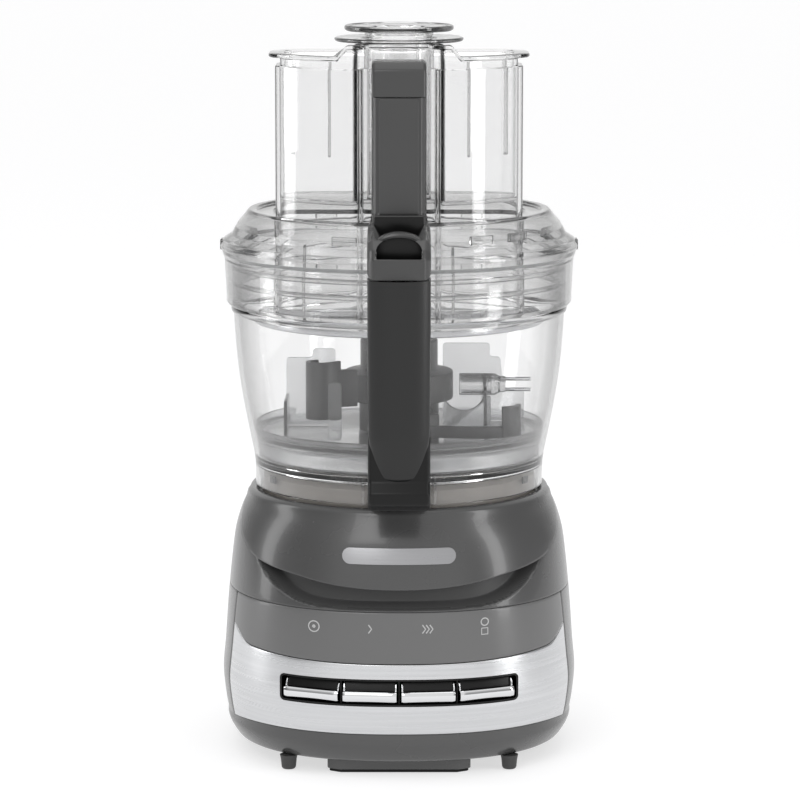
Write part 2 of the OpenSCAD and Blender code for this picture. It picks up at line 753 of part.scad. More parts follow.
module large_pusher() color(clear_grey) {
    difference() {
        union() {
            feed_prism(pusher_t, pusher_low, flange_high);
            difference() {
                feed_prism(-3.5, flange_low, flange_high);
                block(-28, 28, -100, notch_y - 0.5, 380, 400);
            }
        }
        difference() {
            feed_prism(pusher_t + pusher_wall, pusher_low + pusher_wall, flange_high + 1);
            translate([0, small_y, 0]) rod(guide_r + pusher_wall, pusher_low - 1, flange_high + 2);
            // Ribs that hang in the pockets, on the front wall
            for (x = [-56.6, -37, 37, 56.6]) block(x - 0.8, x + 0.8, -80, -52, rib_low, flange_high);
        }
        translate([0, small_y, 0]) rod(guide_r, pusher_low + pusher_wall, flange_high + 2);
    }
    // Raised mouth over the cover, with the small pusher's guide
    translate([0, small_y, 0]) {
        tube(guide_r + pusher_wall, guide_r, flange_high, mouth_high);
        tube(mouth_r, guide_r + pusher_wall, mouth_low, mouth_high);
    }
    for (s = [-1, 1]) block(s > 0 ? 28 : -30, s > 0 ? 30 : -28, -50, -18, flange_high, mouth_low);
}

module small_pusher() color(clear_grey) translate([0, small_y, 0]) difference() {
    union() {
        rod(small_r, pusher_low + pusher_wall + 1.4, mouth_high + 0.2);
        rod(small_r + 2.4, mouth_high + 0.2, cap_top - 3.4);
        rotate_extrude() polygon([[0, cap_top - 3.4], [cap_r - 1, cap_top - 3.4], [cap_r, cap_top - 2.6],
            [cap_r, cap_top - 1], [cap_r - 1.2, cap_top], [0, cap_top]]);
    }
    rod(small_r - 2, pusher_low + pusher_wall + 3.4, cap_top + 1);
}

lower_housing();
rear_housing();
upper_housing();
control_panel();
steel_band();
button_frame();
bottom_cover();
housing_screws();
rubber_feet();
front_skid();
skid_pad();
cord_gland();
bowl_platform();
platform_ring();
lock_lugs();
spindle_housing();
spindle_bearings();
shaft_seal();
motor_stator();
field_coils();
motor_bridge();
motor_bearings();
brush_holders();
drive_belt();
control_board();
switch_board();
button_switches();
interlock_switch();
button_1();
button_2();
button_3();
button_4();
motor_rotor();
commutator();
cooling_fan();
motor_pulley();
drive_spindle();
spindle_pulley();
seat_ring();
work_bowl();
bowl_handle();
rod_spring();
interlock_rod();
storage_caddy();
dough_blade();
stem_adapter();
adapter_prongs();
slicing_disc();
disc_hub();
blade_hub();
chopping_blades();
lid_seal();
lid_shell();
feed_tube();
lid_cover();
cover_cap();
large_pusher();
small_pusher();
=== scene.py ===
"""Looks of the food processor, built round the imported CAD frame. Lengths in this file are millimetres."""
import math

import bmesh
import bpy
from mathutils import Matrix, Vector


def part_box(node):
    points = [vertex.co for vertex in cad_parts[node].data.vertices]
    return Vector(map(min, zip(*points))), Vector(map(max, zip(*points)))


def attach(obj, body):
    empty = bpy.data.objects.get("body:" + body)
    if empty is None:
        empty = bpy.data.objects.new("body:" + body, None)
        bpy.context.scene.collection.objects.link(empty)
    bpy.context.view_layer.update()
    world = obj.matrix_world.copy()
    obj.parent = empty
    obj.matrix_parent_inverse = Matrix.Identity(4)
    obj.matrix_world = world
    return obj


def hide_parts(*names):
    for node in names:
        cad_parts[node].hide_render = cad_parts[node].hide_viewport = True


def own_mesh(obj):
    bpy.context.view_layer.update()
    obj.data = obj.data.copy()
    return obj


MM = 0.001
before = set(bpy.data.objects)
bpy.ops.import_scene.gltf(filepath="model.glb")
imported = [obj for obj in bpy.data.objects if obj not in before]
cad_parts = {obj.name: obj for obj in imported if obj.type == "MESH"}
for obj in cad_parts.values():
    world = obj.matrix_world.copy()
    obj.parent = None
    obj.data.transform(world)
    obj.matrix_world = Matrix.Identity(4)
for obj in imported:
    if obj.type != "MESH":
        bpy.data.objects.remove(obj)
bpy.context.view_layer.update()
scene = bpy.context.scene


def shown(name, data):
    """A new object in the scene."""
    obj = bpy.data.objects.new(name, data)
    scene.collection.objects.link(obj)
    return obj


# ---- Camera ----
camera_data = bpy.data.cameras.new("view")
camera_data.lens = 169.9
camera_data.sensor_width = 36
camera_data.clip_end = 60
camera_data.shift_x = 0.0012
camera = shown("view", camera_data)
camera.location = (0, -2.108, 0.521)
camera.rotation_euler = (math.radians(90 - 8.8), 0, 0)
scene.camera = camera


# ---- Curves and outlines ----
def sind(a):
    return math.sin(math.radians(a))


def cosd(a):
    return math.cos(math.radians(a))


def span(a, b, n):
    """n + 1 numbers from a to b."""
    return [a + (b - a) * i / n for i in range(n + 1)]


def around(n):
    """n angles round a full turn."""
    return [360 * i / n for i in range(n)]


def smooth(v):
    """v held between 0 and 1, with soft ends."""
    v = min(1, max(0, v))
    return v * v * (3 - 2 * v)


def curve(z, table):
    """A smooth line through the table's points, flat where the table turns."""
    if z <= table[0][0]:
        return table[0][1]
    if z >= table[-1][0]:
        return table[-1][1]
    i = next(k for k in range(len(table) - 1) if z <= table[k + 1][0])

    def secant(k):
        return (table[k + 1][1] - table[k][1]) / (table[k + 1][0] - table[k][0])

    def slope(k):
        if k == 0 or k == len(table) - 1:
            return secant(min(k, len(table) - 2))
        a, b = secant(k - 1), secant(k)
        return 0 if a * b <= 0 else 2 * a * b / (a + b)

    (x0, y0), (x1, y1) = table[i], table[i + 1]
    h = x1 - x0
    t = (z - x0) / h
    return (y0 * (2 * t ** 3 - 3 * t * t + 1) + y1 * (3 * t * t - 2 * t ** 3)
            + h * slope(i) * (t ** 3 - 2 * t * t + t) + h * slope(i + 1) * (t ** 3 - t * t))


# Half angle, in radians, over which a corner is left as it is
NEARLY_STRAIGHT = 1.54


def rounded(points, n=5):
    """A closed outline whose corners (x, y, radius) are turned into arcs."""
    out = []
    m = len(points)
    for i, p in enumerate(points):
        r = p[2] if len(p) > 2 else 0
        b = Vector(p[:2])
        if r <= 0:
            out.append(tuple(b))
            continue
        d0, d1 = Vector(points[i - 1][:2]) - b, Vector(points[(i + 1) % m][:2]) - b
        u0, u1 = d0.normalized(), d1.normalized()
        half = math.acos(max(-1, min(1, u0.dot(u1)))) / 2
        if half > NEARLY_STRAIGHT:
            out.append(tuple(b))
            continue
        reach = min(r / math.tan(half), 0.49 * d0.length, 0.49 * d1.length)
        r = reach * math.tan(half)
        centre = b + (u0 + u1).normalized() * (r / math.sin(half))
        a0 = b + u0 * reach - centre
        a1 = b + u1 * reach - centre
        turn = a0.angle_signed(a1)
        for k in range(n + 1):
            a = -turn * k / n
            out.append((centre.x + a0.x * math.cos(a) - a0.y * math.sin(a),
                        centre.y + a0.x * math.sin(a) + a0.y * math.cos(a)))
    return out


def inset(points, d):
    """The closed outline moved inwards by d."""
    m = len(points)
    area = sum(points[i - 1][0] * points[i][1] - points[i][0] * points[i - 1][1] for i in range(m))
    side = 1 if area > 0 else -1
    out = []
    for i, (x, y) in enumerate(points):
        e0 = Vector((x - points[i - 1][0], y - points[i - 1][1])).normalized()
        e1 = Vector((points[(i + 1) % m][0] - x, points[(i + 1) % m][1] - y)).normalized()
        n = Vector((-e0.y - e1.y, e0.x + e1.x)) * side
        n = n / max(0.3, n.length_squared / 2)
        out.append((x + n.x * d, y + n.y * d))
    return out


# ---- Meshes ----
def solid(name, verts, faces):
    """An object from points in millimetres."""
    mesh = bpy.data.meshes.new(name)
    mesh.from_pydata([(x * MM, y * MM, z * MM) for x, y, z in verts], [], faces)
    return clean(shown(name, mesh))


def clean(obj):
    """Merges doubled points and turns the faces outwards."""
    bm = bmesh.new()
    bm.from_mesh(obj.data)
    bmesh.ops.remove_doubles(bm, verts=bm.verts, dist=2e-6)
    bmesh.ops.dissolve_degenerate(bm, edges=bm.edges, dist=1e-6)
    bmesh.ops.recalc_face_normals(bm, faces=bm.faces)
    bm.to_mesh(obj.data)
    bm.free()
    return obj


def loft(name, rings, wrap=False):
    """A solid through loops of equal length, joined last to first or capped."""
    n, m = len(rings[0]), len(rings)
    verts = [p for r in rings for p in r]
    faces = [(j * n + i, j * n + (i + 1) % n, (j + 1) % m * n + (i + 1) % n, (j + 1) % m * n + i)
             for j in range(m if wrap else m - 1) for i in range(n)]
    if not wrap:
        faces += [tuple(range(n)), tuple((m - 1) * n + i for i in range(n))]
    return solid(name, verts, faces)


def plate(name, outer, inner):
    """A shell between two open grids with the same rows and columns."""
    rows, cols = len(outer), len(outer[0])
    verts = [p for g in (outer, inner) for r in g for p in r]
    k = rows * cols
    faces = []
    for j in range(rows - 1):
        for i in range(cols - 1):
            q = (j * cols + i, j * cols + i + 1, (j + 1) * cols + i + 1, (j + 1) * cols + i)
            faces += [q, tuple(k + v for v in q[::-1])]
    rim = (list(range(cols)) + [j * cols + cols - 1 for j in range(1, rows)]
           + [(rows - 1) * cols + i for i in range(cols - 2, -1, -1)] + [j * cols for j in range(rows - 2, 0, -1)])
    for a, b in zip(rim, rim[1:] + rim[:1]):
        faces.append((b, a, k + a, k + b))
    return solid(name, verts, faces)


def lathe(name, profile, n=192, at=(0, 0)):
    """The closed outline of (radius, height) turned round a vertical line."""
    rings = [[(at[0] + r * cosd(a), at[1] + r * sind(a), z) for r, z in profile] for a in around(n)]
    return loft(name, rings, wrap=True)


def upright(name, outline, low, high, r=0, n=4, deep=None):
    """An outline in plan between two heights, with its upper and lower edges rounded, r high and deep wide."""
    def level(z, d):
        return [(x, y, z) for x, y in (inset(outline, d) if d else outline)]
    if r == 0:
        return loft(name, [level(low, 0), level(high, 0)])
    steps, deep = span(0, 90, n), r if deep is None else deep
    return loft(name, [level(low + r * (1 - sind(a)), deep * (1 - cosd(a))) for a in steps[::-1]]
                + [level(high - r * (1 - sind(a)), deep * (1 - cosd(a))) for a in steps])


def mapped(obj, to):
    """Moves each point of obj to where to() says."""
    for v in obj.data.vertices:
        v.co = to(*v.co)
    return clean(obj)


def slab(name, outline, low, high, r, n=5, deep=None):
    """A side outline of (y, z) between two x, with both of its sides rounded."""
    return mapped(upright(name, outline, low, high, r, n, deep), lambda x, y, z: (z, x, y))


def facing(name, outline, low, high, r, n=3):
    """A front outline of (x, z) between two y, with its edges rounded."""
    return mapped(upright(name, outline, low, high, r, n), lambda x, y, z: (x, z, y))


def box_outline(x0, x1, y0, y1, r):
    return rounded([(x0, y0, r), (x1, y0, r), (x1, y1, r), (x0, y1, r)])


def joined(name, parts):
    """One piece from several parts, which keep their own surfaces."""
    bm = bmesh.new()
    for p in parts:
        bm.from_mesh(p.data)
        bpy.data.objects.remove(p)
    mesh = bpy.data.meshes.new(name)
    bm.to_mesh(mesh)
    bm.free()
    return shown(name, mesh)


def cut(obj, other):
    """Cuts other away from obj."""
    step = obj.modifiers.new("cut", "BOOLEAN")
    step.operation = "DIFFERENCE"
    step.solver = "EXACT"
    step.object = other
    graph = bpy.context.evaluated_depsgraph_get()
    mesh = bpy.data.meshes.new_from_object(obj.evaluated_get(graph))
    obj.modifiers.clear()
    obj.data = mesh
    bpy.data.objects.remove(other)
    return clean(obj)


def moved(obj, turn=0, at=(0, 0, 0)):
    """Turns obj about the vertical axis, then shifts it."""
    c, s = cosd(turn), sind(turn)
    for v in obj.data.vertices:
        x, y, z = v.co
        v.co = (x * c - y * s + at[0] * MM, x * s + y * c + at[1] * MM, z + at[2] * MM)
    return obj


def done(obj, body, slot, material, *nodes, angle=32):
    """Shades the piece, gives it its finish, and puts it on its body."""
    for p in obj.data.polygons:
        p.use_smooth = True
    obj.data.set_sharp_from_angle(angle=math.radians(angle))
    obj.data.materials.clear()
    obj.data.materials.append(material)
    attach(obj, body)
    if nodes:
        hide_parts(*nodes)
    return obj


# ---- Materials ----
def put(node, **values):
    """Sets a node's inputs. An underscore in a name stands for a space."""
    for name, value in values.items():
        node.inputs[name.replace("_", " ")].default_value = value
    return node


def shader(name, color, roughness, metallic=0.0, ior=1.5, transmission=0.0, coat=0.0,
           shade=0.05, shade_size=60, rough_by=0.06, rough_size=160, bump=0.02, bump_size=1800,
           stretch=(1, 1, 1), specular=0.5, rings=False, absorb=0.0, edge=1.0):
    """A finish whose colour, roughness and bump vary a little over the surface."""
    m = bpy.data.materials.new(name)
    m.use_nodes = True
    nodes, links = m.node_tree.nodes, m.node_tree.links
    p = put(nodes["Principled BSDF"], Metallic=metallic, IOR=ior, Transmission_Weight=transmission,
            Coat_Weight=coat, Coat_Roughness=0.06, Specular_IOR_Level=specular)
    place = nodes.new("ShaderNodeTexCoord")
    scale = put(nodes.new("ShaderNodeMapping"), Scale=stretch)
    if rings:
        # Marks that run round the vertical axis
        plan = nodes.new("ShaderNodeVectorMath")
        plan.operation = "MULTIPLY"
        plan.inputs[1].default_value = (1, 1, 0)
        radius = nodes.new("ShaderNodeVectorMath")
        radius.operation = "LENGTH"
        links.new(place.outputs["Object"], plan.inputs[0])
        links.new(plan.outputs["Vector"], radius.inputs[0])
        links.new(radius.outputs["Value"], scale.inputs["Vector"])
    else:
        links.new(place.outputs["Object"], scale.inputs["Vector"])

    def noise(size, detail):
        n = put(nodes.new("ShaderNodeTexNoise"), Scale=size, Detail=detail)
        links.new(scale.outputs["Vector"], n.inputs["Vector"])
        return n.outputs["Fac"]

    def mix(**values):
        n = nodes.new("ShaderNodeMix")
        n.data_type = "RGBA"
        return put(n, **values)

    tint = mix(A=(*[c * (1 - shade) for c in color], 1), B=(*[min(1, c * (1 + shade)) for c in color], 1))
    links.new(noise(shade_size, 3), tint.inputs["Factor"])
    links.new(tint.outputs["Result"], p.inputs["Base Color"])
    if edge < 1:
        # Painted dark edges: the base colour darkens where clear plastic is seen along its surface, partly for its
        # denser tint there and partly as a painted dark reflection that draws its outlines
        weight = put(nodes.new("ShaderNodeLayerWeight"), Blend=0.5)
        slant = put(nodes.new("ShaderNodeMapRange"), From_Min=0.42, From_Max=0.98)
        links.new(weight.outputs["Facing"], slant.inputs["Value"])
        dense = mix(B=(*[c * edge for c in color], 1))
        links.new(slant.outputs["Result"], dense.inputs["Factor"])
        links.new(tint.outputs["Result"], dense.inputs["A"])
        links.new(dense.outputs["Result"], p.inputs["Base Color"])
    rough = put(nodes.new("ShaderNodeMapRange"), From_Min=0.15, From_Max=0.85,
                To_Min=max(0, roughness - rough_by), To_Max=roughness + rough_by)
    links.new(noise(rough_size, 4), rough.inputs["Value"])
    links.new(rough.outputs["Result"], p.inputs["Roughness"])
    if bump:
        raised = put(nodes.new("ShaderNodeBump"), Strength=bump, Distance=0.0004)
        links.new(noise(bump_size, 2), raised.inputs["Height"])
        links.new(raised.outputs["Normal"], p.inputs["Normal"])
    if absorb:
        # Thick clear plastic gets darker with depth
        depth = put(nodes.new("ShaderNodeVolumeAbsorption"), Color=(0.5, 0.5, 0.5, 1), Density=absorb)
        links.new(depth.outputs["Volume"], nodes["Material Output"].inputs["Volume"])
    return m


def grey(v, warm=0.0):
    """An even grey given as it looks on screen, from 0 to 255."""
    c = (v / 255) ** 2.2
    return (c * (1 + warm), c, c * (1 - warm))


MOULDED = {"shade": 0.014, "shade_size": 14, "rough_by": 0.012, "rough_size": 30, "bump": 0.006, "bump_size": 900}
housing_look = shader("charcoal_plastic", grey(72), 0.27, coat=0.2, **MOULDED)
panel_look = shader("panel_plastic", grey(97), 0.3, coat=0.15, **MOULDED)
cover_look = shader("cover_plastic", grey(64), 0.26, specular=0.45, **MOULDED)
handle_look = shader("handle_plastic", grey(25), 0.28, specular=0.45, **MOULDED)
bracket_look = shader("bracket_plastic", grey(22), 0.32, specular=0.25, **MOULDED)
# Painted shade for the crescent recess, less glossy than the housing; the bottom cover uses this finish too
recess_shade_and_bottom_look = shader("recess_shade_and_bottom_plastic", grey(76), 0.42, specular=0.3, **MOULDED)
black_look = shader("black_plastic", grey(16), 0.3, specular=0.3, bump=0.02)
rubber_look = shader("rubber", grey(26), 0.75, bump=0.15, bump_size=900, specular=0.25)
foot_look = shader("grey_rubber", grey(66), 0.5, bump=0.08, bump_size=900, specular=0.3)
# edge sets how dark the painted edges of each clear plastic get, as a share of its colour
clear_look = shader("clear_plastic", (0.99, 0.99, 0.99), 0.015, transmission=1.0, ior=1.49,
                    shade=0.006, rough_by=0.008, bump=0.005, bump_size=120, absorb=26, edge=0.07)
lid_look = shader("lid_plastic", (0.98, 0.98, 0.98), 0.02, transmission=1.0, ior=1.49,
                  shade=0.006, rough_by=0.01, bump=0.008, bump_size=90, absorb=95, edge=0.3)
smoke_look = shader("smoke_plastic", (0.86, 0.865, 0.87), 0.12, transmission=0.9, ior=1.45,
                    shade=0.02, rough_by=0.04, bump=0.01, bump_size=300, absorb=90)
seal_look = shader("seal_silicone", (0.7, 0.71, 0.72), 0.35, transmission=0.5, ior=1.41, bump=0.02)
band_look = shader("brushed_steel", (0.61, 0.615, 0.625), 0.3, metallic=1.0, shade=0.13, shade_size=9,
                   stretch=(1, 1, 70), rough_by=0.1, rough_size=14, bump=0.06, bump_size=60)
chrome_look = shader("chrome", (0.7, 0.705, 0.715), 0.06, metallic=1.0, shade=0.02, rough_by=0.03, bump=0.004)
steel_look = shader("turned_steel", (0.5, 0.505, 0.515), 0.27, metallic=1.0, shade=0.06, shade_size=700,
                    rings=True, rough_by=0.08, rough_size=1500, bump=0.05, bump_size=2500)
blade_look = shader("blade_steel", (0.7, 0.71, 0.72), 0.2, metallic=1.0, stretch=(1, 6, 1), shade=0.05,
                    rough_by=0.08, rough_size=300, bump=0.03, bump_size=900)
ring_look = shader("warm_grey_plastic", grey(152, 0.08), 0.4, bump=0.05)
hub_look = shader("hub_plastic", grey(84), 0.4, bump=0.06)
cast_look = shader("cast_metal", (0.35, 0.355, 0.36), 0.5, metallic=0.9, bump=0.25, bump_size=700)
copper_look = shader("copper_winding", (0.72, 0.33, 0.14), 0.35, metallic=1.0, stretch=(1, 1, 8), bump=0.3,
                     bump_size=350)
board_look = shader("circuit_board", (0.02, 0.11, 0.045), 0.35, shade=0.25, shade_size=300, bump=0.1, bump_size=500)
fan_look = shader("fan_plastic", grey(205, 0.02), 0.45, bump=0.05)

# ---- Base: plan and profile, the same as the CAD's ----
WIDTH = [(8, 6.5), (18, 3.5), (32, 1), (44, 0), (60, 1.3), (84, 3), (112, 5.8), (122, 7.2), (129, 9), (136, 11.4),
         (143, 14.8), (147, 16)]
FRONT = [(8, 7), (18, 3.5), (32, 1), (44, 0), (60, 1), (91, 3), (112, 6.5), (129, 11), (143, 16.8), (147, 18)]
REAR = [(8, 5), (18, 2.5), (32, 0.5), (44, 0), (91, 3), (112, 6), (129, 11), (143, 19), (147, 23)]
POWER = [(60, 2.35), (120, 2.15), (147, 2)]
HALF_WIDTH, FRONT_REACH, REAR_REACH = 99.8, 101, 126
# Where the front pieces meet the rear housing, and half of the seam between them
FASCIA_Y, SEAM_GAP = -40, 0.15
BASE_TOP = 147
WALL = 2.8


def half_w(z):
    return HALF_WIDTH - curve(z, WIDTH)


def front_d(z):
    return FRONT_REACH - curve(z, FRONT)


def rear_d(z):
    return REAR_REACH - curve(z, REAR)


def ease(v, n):
    return math.copysign(abs(v) ** (2 / n), v)


def base_point(t, z, k=0.0):
    """The base's surface at angle t and height z, moved inwards by k."""
    c, s, n = cosd(t), sind(t), curve(z, POWER)
    return ((half_w(z) - k) * ease(c, n), ((front_d(z) if s < 0 else rear_d(z)) - k) * ease(s, n), z)


def front_y(x, z):
    n = curve(z, POWER)
    return -front_d(z) * (1 - min(1, abs(x) / half_w(z)) ** n) ** (1 / n)


def off_front(t):
    """0 at the middle of the front, 1 at the sides and behind."""
    return 1 - max(0, -sind(t))


def band_low(t):
    return 25 - 3 * min(1, off_front(t) / 0.67) ** 3


def band_high(t):
    return 64 + 6.6 * off_front(t) + 8 * smooth((off_front(t) - 0.42) / 0.28)


# Height at which the upper housing begins
LEDGE = 92.8


def edge_angle(z, y):
    """The angle at which the base's front crosses y."""
    return math.degrees(math.asin((-y / front_d(z)) ** (curve(z, POWER) / 2)))


def fascia(name, low, high, thick, rows, cols=150, edge=0.45):
    """A front piece of the base between two heights, which may vary along it, with soft edges."""
    # Distance from the edge, and how far the surface is moved in there
    soft = [(0, edge), (0.12, edge * 0.45), (0.35, edge * 0.12), (0.8, 0)]

    def steps(length, n):
        start = [(d / length, k) for d, k in soft]
        first = start[-1][0]
        middle = [(v, 0) for v in span(first, 1 - first, n)[1:-1]]
        return start + middle + [(1 - v, k) for v, k in start[::-1]]

    outer, inner = [], []
    for v, kv in steps(high(270) - low(270), rows):
        a, b = [], []
        for u, ku in steps(230, cols):
            t = 270
            for _ in range(3):
                z = low(t) + (high(t) - low(t)) * v
                e = edge_angle(z, FASCIA_Y - SEAM_GAP)
                t = 180 + e + (180 - 2 * e) * u
            a.append(base_point(t, z, kv + ku))
            b.append(base_point(t, z, thick))
        outer.append(a)
        inner.append(b)
    return plate(name, outer, inner)


def wall(name, rows):
    """A closed band of wall. Each row says (height, inset) for an angle."""
    return loft(name, [[base_point(t, *row(t)) for t in around(400)] for row in rows], wrap=True)


# Lower housing: a tub with a soft crease under the band
lower_rows = [(8, 3.8), (8.15, 2.6), (8.7, 1.8), (9.8, 1.1), (12.4, 0.2), (15, -0.5), (17.6, -0.8), (18.8, -0.75),
              (19.8, -0.5)]
lower = wall("lower_housing_shell", [
    *[lambda t, z=z, k=k: (z, k) for z, k in lower_rows],
    lambda t: (band_low(t) - 0.7, 0.5), lambda t: (band_low(t) - 0.35, 0.6), lambda t: (band_low(t) - 0.25, 0.9),
    lambda t: (band_low(t) - 0.25, WALL), lambda t: (12, WALL), lambda t: (12, 9), lambda t: (8, 9)])
done(lower, "root", "housing", housing_look, "lower_housing")

# Rear housing: behind the front pieces, from the lower housing up to the ledge line
REAR_COLS = 260


def rear_grid(k_out, z_of):
    """The rear housing's outer grid, or a grid k_out inside the base's surface."""
    rows = []
    for v, k in z_of:
        row = []
        for i in range(REAR_COLS + 1):
            t = 0
            for _ in range(3):
                z = band_low(t) + (LEDGE - SEAM_GAP - band_low(t)) * v
                e = edge_angle(z, FASCIA_Y + SEAM_GAP)
                t = -e + (180 + 2 * e) * i / REAR_COLS
            side = min(i, REAR_COLS - i)
            row.append(base_point(t, z, k_out if k_out else k + (0.4 if side == 0 else 0)))
        rows.append(row)
    return rows


rear_z = ([(0, 0.4), (0.003, 0.12), (0.008, 0)] + [(v, 0) for v in span(0.02, 0.98, 26)]
          + [(0.992, 0), (0.997, 0.12), (1, 0.4)])
rear = plate("rear_housing_shell", rear_grid(0, rear_z), rear_grid(WALL, rear_z))
done(rear, "root", "housing", housing_look, "rear_housing")

# Steel band with its button slot
SLOT_X, SLOT_LOW, SLOT_HIGH = 65.5, 41, 56
band = fascia("steel_band_sheet", band_low, band_high, 1.2, 24, edge=0.35)
cut(band, facing("slot", box_outline(-SLOT_X, SLOT_X, SLOT_LOW, SLOT_HIGH, 2.6), -110, -60, 0))
done(band, "root", "band", band_look, "steel_band")

panel = fascia("control_panel_fascia", lambda t: band_high(t) + 0.3, lambda t: LEDGE - SEAM_GAP, 2.6, 20, edge=0.6)
done(panel, "root", "panel", panel_look, "control_panel")


# Upper housing: the shield sweeps down to the front over the crescent recess
SHIELD = [(-97, 104.4), (-92, 106.2), (-79, 110.4), (-66, 113), (-53, 116), (-28, 127), (0, 147)]
# Half width of the crescent recess, its lower edge, and the top of the shield's edge
TIP_X, POCKET_LOW, SHIELD_TOP = 80, 93.6, 131
POCKET_DEEP = 10
SEAT_R = 80


def shield_line(y):
    return curve(y, SHIELD)


def crescent_top(t):
    """The height of the shield's edge at angle t, found by repeated averaging."""
    if sind(t) >= 0:
        return SHIELD_TOP
    z = 110
    for _ in range(12):
        z = 0.5 * z + 0.5 * min(SHIELD_TOP, shield_line(base_point(t, z)[1]))
    return z


def pocket(t, z):
    """Depth of the crescent recess."""
    x, top = abs(base_point(t, z)[0]), crescent_top(t)
    if sind(t) >= 0 or x >= TIP_X:
        return 0
    low = POCKET_LOW + 22.4 * (x / 79.5) ** 6.5
    if z <= low:
        return 0
    room = max(0.01, top - low)
    return POCKET_DEEP * smooth((z - low) / 3.5) ** 0.8 * smooth(room / 7)


def proud(t, z):
    """How far the shield stands out from the base's surface."""
    y = base_point(t, z)[1]
    if y >= 2:
        return 0
    return 1.1 * smooth((z - shield_line(min(y, 0))) / 1.4) * smooth((BASE_TOP + 0.5 - z) / 3)


angles = around(480)
upper_rings = []
for v in [0, 0.004, 0.012] + span(0.03, 1, 34):
    soft = {0: 0.5, 0.004: 0.2, 0.012: 0.05}.get(v, 0)
    ring = []
    for t in angles:
        z = LEDGE + (crescent_top(t) - LEDGE) * v
        ring.append(base_point(t, z, soft + pocket(t, z)))
    upper_rings.append(ring)
for dz, k in ((0, 1.2), (0, 0.35), (0.15, 0.08), (0.5, 0)):
    ring = []
    for t in angles:
        top = crescent_top(t)
        out = proud(t, top + 1.4) if sind(t) < 0 else 0
        ring.append(base_point(t, top + dz, (k if off_front(t) < 0.5 else 0) - out))
    upper_rings.append(ring)
for v in span(0.03, 0.965, 42):
    ring = []
    for t in angles:
        low = crescent_top(t) + 0.5
        z = low + (BASE_TOP - 0.3 - low) * v
        ring.append(base_point(t, z, -proud(t, max(z, crescent_top(t) + 1.4))))
    upper_rings.append(ring)
for z, k in ((146.4, 0.1), (146.75, 0.5), (146.95, 1.1), (147, 1.8)):
    upper_rings.append([base_point(t, z, k) for t in angles])
for z in (BASE_TOP, BASE_TOP - 3):
    upper_rings.append([(SEAT_R * cosd(t), SEAT_R * sind(t), z) for t in angles])
for z in (143, 136, 124, 118, 112):
    upper_rings.append([base_point(t, z, 11 if z < 125 else 4) for t in angles])
for k in (12.5, 2.5):
    upper_rings.append([base_point(t, LEDGE, k) for t in angles])
upper = loft("upper_housing_shell", upper_rings, wrap=True)
done(upper, "root", "housing", housing_look, "upper_housing", angle=40)
# Painted shade: the recess faces get their own duller, less glossy finish, which stands in for the shade under the
# shield's edge
upper.data.materials.append(recess_shade_and_bottom_look)
for face in upper.data.polygons:
    x, y, z = face.center / MM
    if y < -40 and POCKET_LOW < z < SHIELD_TOP and y - front_y(x, z) > 2.4:
        face.material_index = 1


def hug(name, half_x, low, high, corner, back, front, rows=14, cols=48):
    """A thin plate with rounded corners that follows the base's front."""
    grids = [[], []]
    for i in range(rows + 1):
        a = math.pi * i / rows
        z = (low + high) / 2 - (high - low) / 2 * math.cos(a)
        d = max(0, corner - min(z - low, high - z))
        reach = half_x - corner + math.sqrt(max(0, corner * corner - d * d))
        for grid, depth in zip(grids, (front, back)):
            grid.append([(reach * u, front_y(reach * u, z) - depth, z) for u in span(-1, 1, cols)])
    return plate(name, *grids)


def stroke(name, path, width, closed=False):
    """A thin raised line of (x, z) points on the control panel."""
    rings = []
    m = len(path)
    for i, (x, z) in enumerate(path):
        a = path[i - 1] if i or closed else path[0]
        b = path[(i + 1) % m] if i < m - 1 or closed else path[-1]
        d = (Vector(b) - Vector(a)).normalized() * width / 2
        rings.append([(x + s * -d.y, front_y(x + s * -d.y, z + s * d.x) - k, z + s * d.x)
                      for s, k in ((-1, -0.1), (-1, 0.12), (1, 0.12), (1, -0.1))])
    return loft(name, rings, wrap=closed)


# A plain badge on the shield, and four plain symbols over the buttons
badge_look = shader("satin_badge", (0.36, 0.36, 0.37), 0.3, metallic=1.0, stretch=(1, 1, 30), shade=0.05,
                    rough_size=40, bump=0.04, bump_size=120)
print_look = shader("light_print", grey(176), 0.45, bump=0.02)
badge = hug("badge", 31, 118.6, 127.2, 4.3, 0.9, 1.6)
done(badge, "root", "chrome", badge_look)

MARK_Z = 83.7


def circle(x, z, r, n=20):
    return [(x + r * cosd(a), z + r * sind(a)) for a in around(n)]


def chevron(x, z):
    return [(x - 0.85, z - 2.3), (x + 0.85, z), (x - 0.85, z + 2.3)]


# Each symbol's lines: path, width, and whether it is closed
low, high = MARK_Z - 4.4, MARK_Z - 1
SYMBOLS = [
    [(circle(-46.5, MARK_Z, 2.9), 0.6, True), (circle(-46.5, MARK_Z, 0.6, 8), 0.7, True)],
    [(chevron(-15.8, MARK_Z), 0.65, False)],
    [(chevron(x, MARK_Z), 0.65, False) for x in (13.6, 15.6, 17.6)],
    [(circle(46.8, MARK_Z + 2.4, 2), 0.6, True), ([(45.1, low), (48.5, low), (48.5, high), (45.1, high)], 0.6, True)],
]
for k, lines in enumerate(SYMBOLS):
    done(joined(f"symbol_{k + 1}", [stroke("mark", *line) for line in lines]), "root", "panel", print_look)

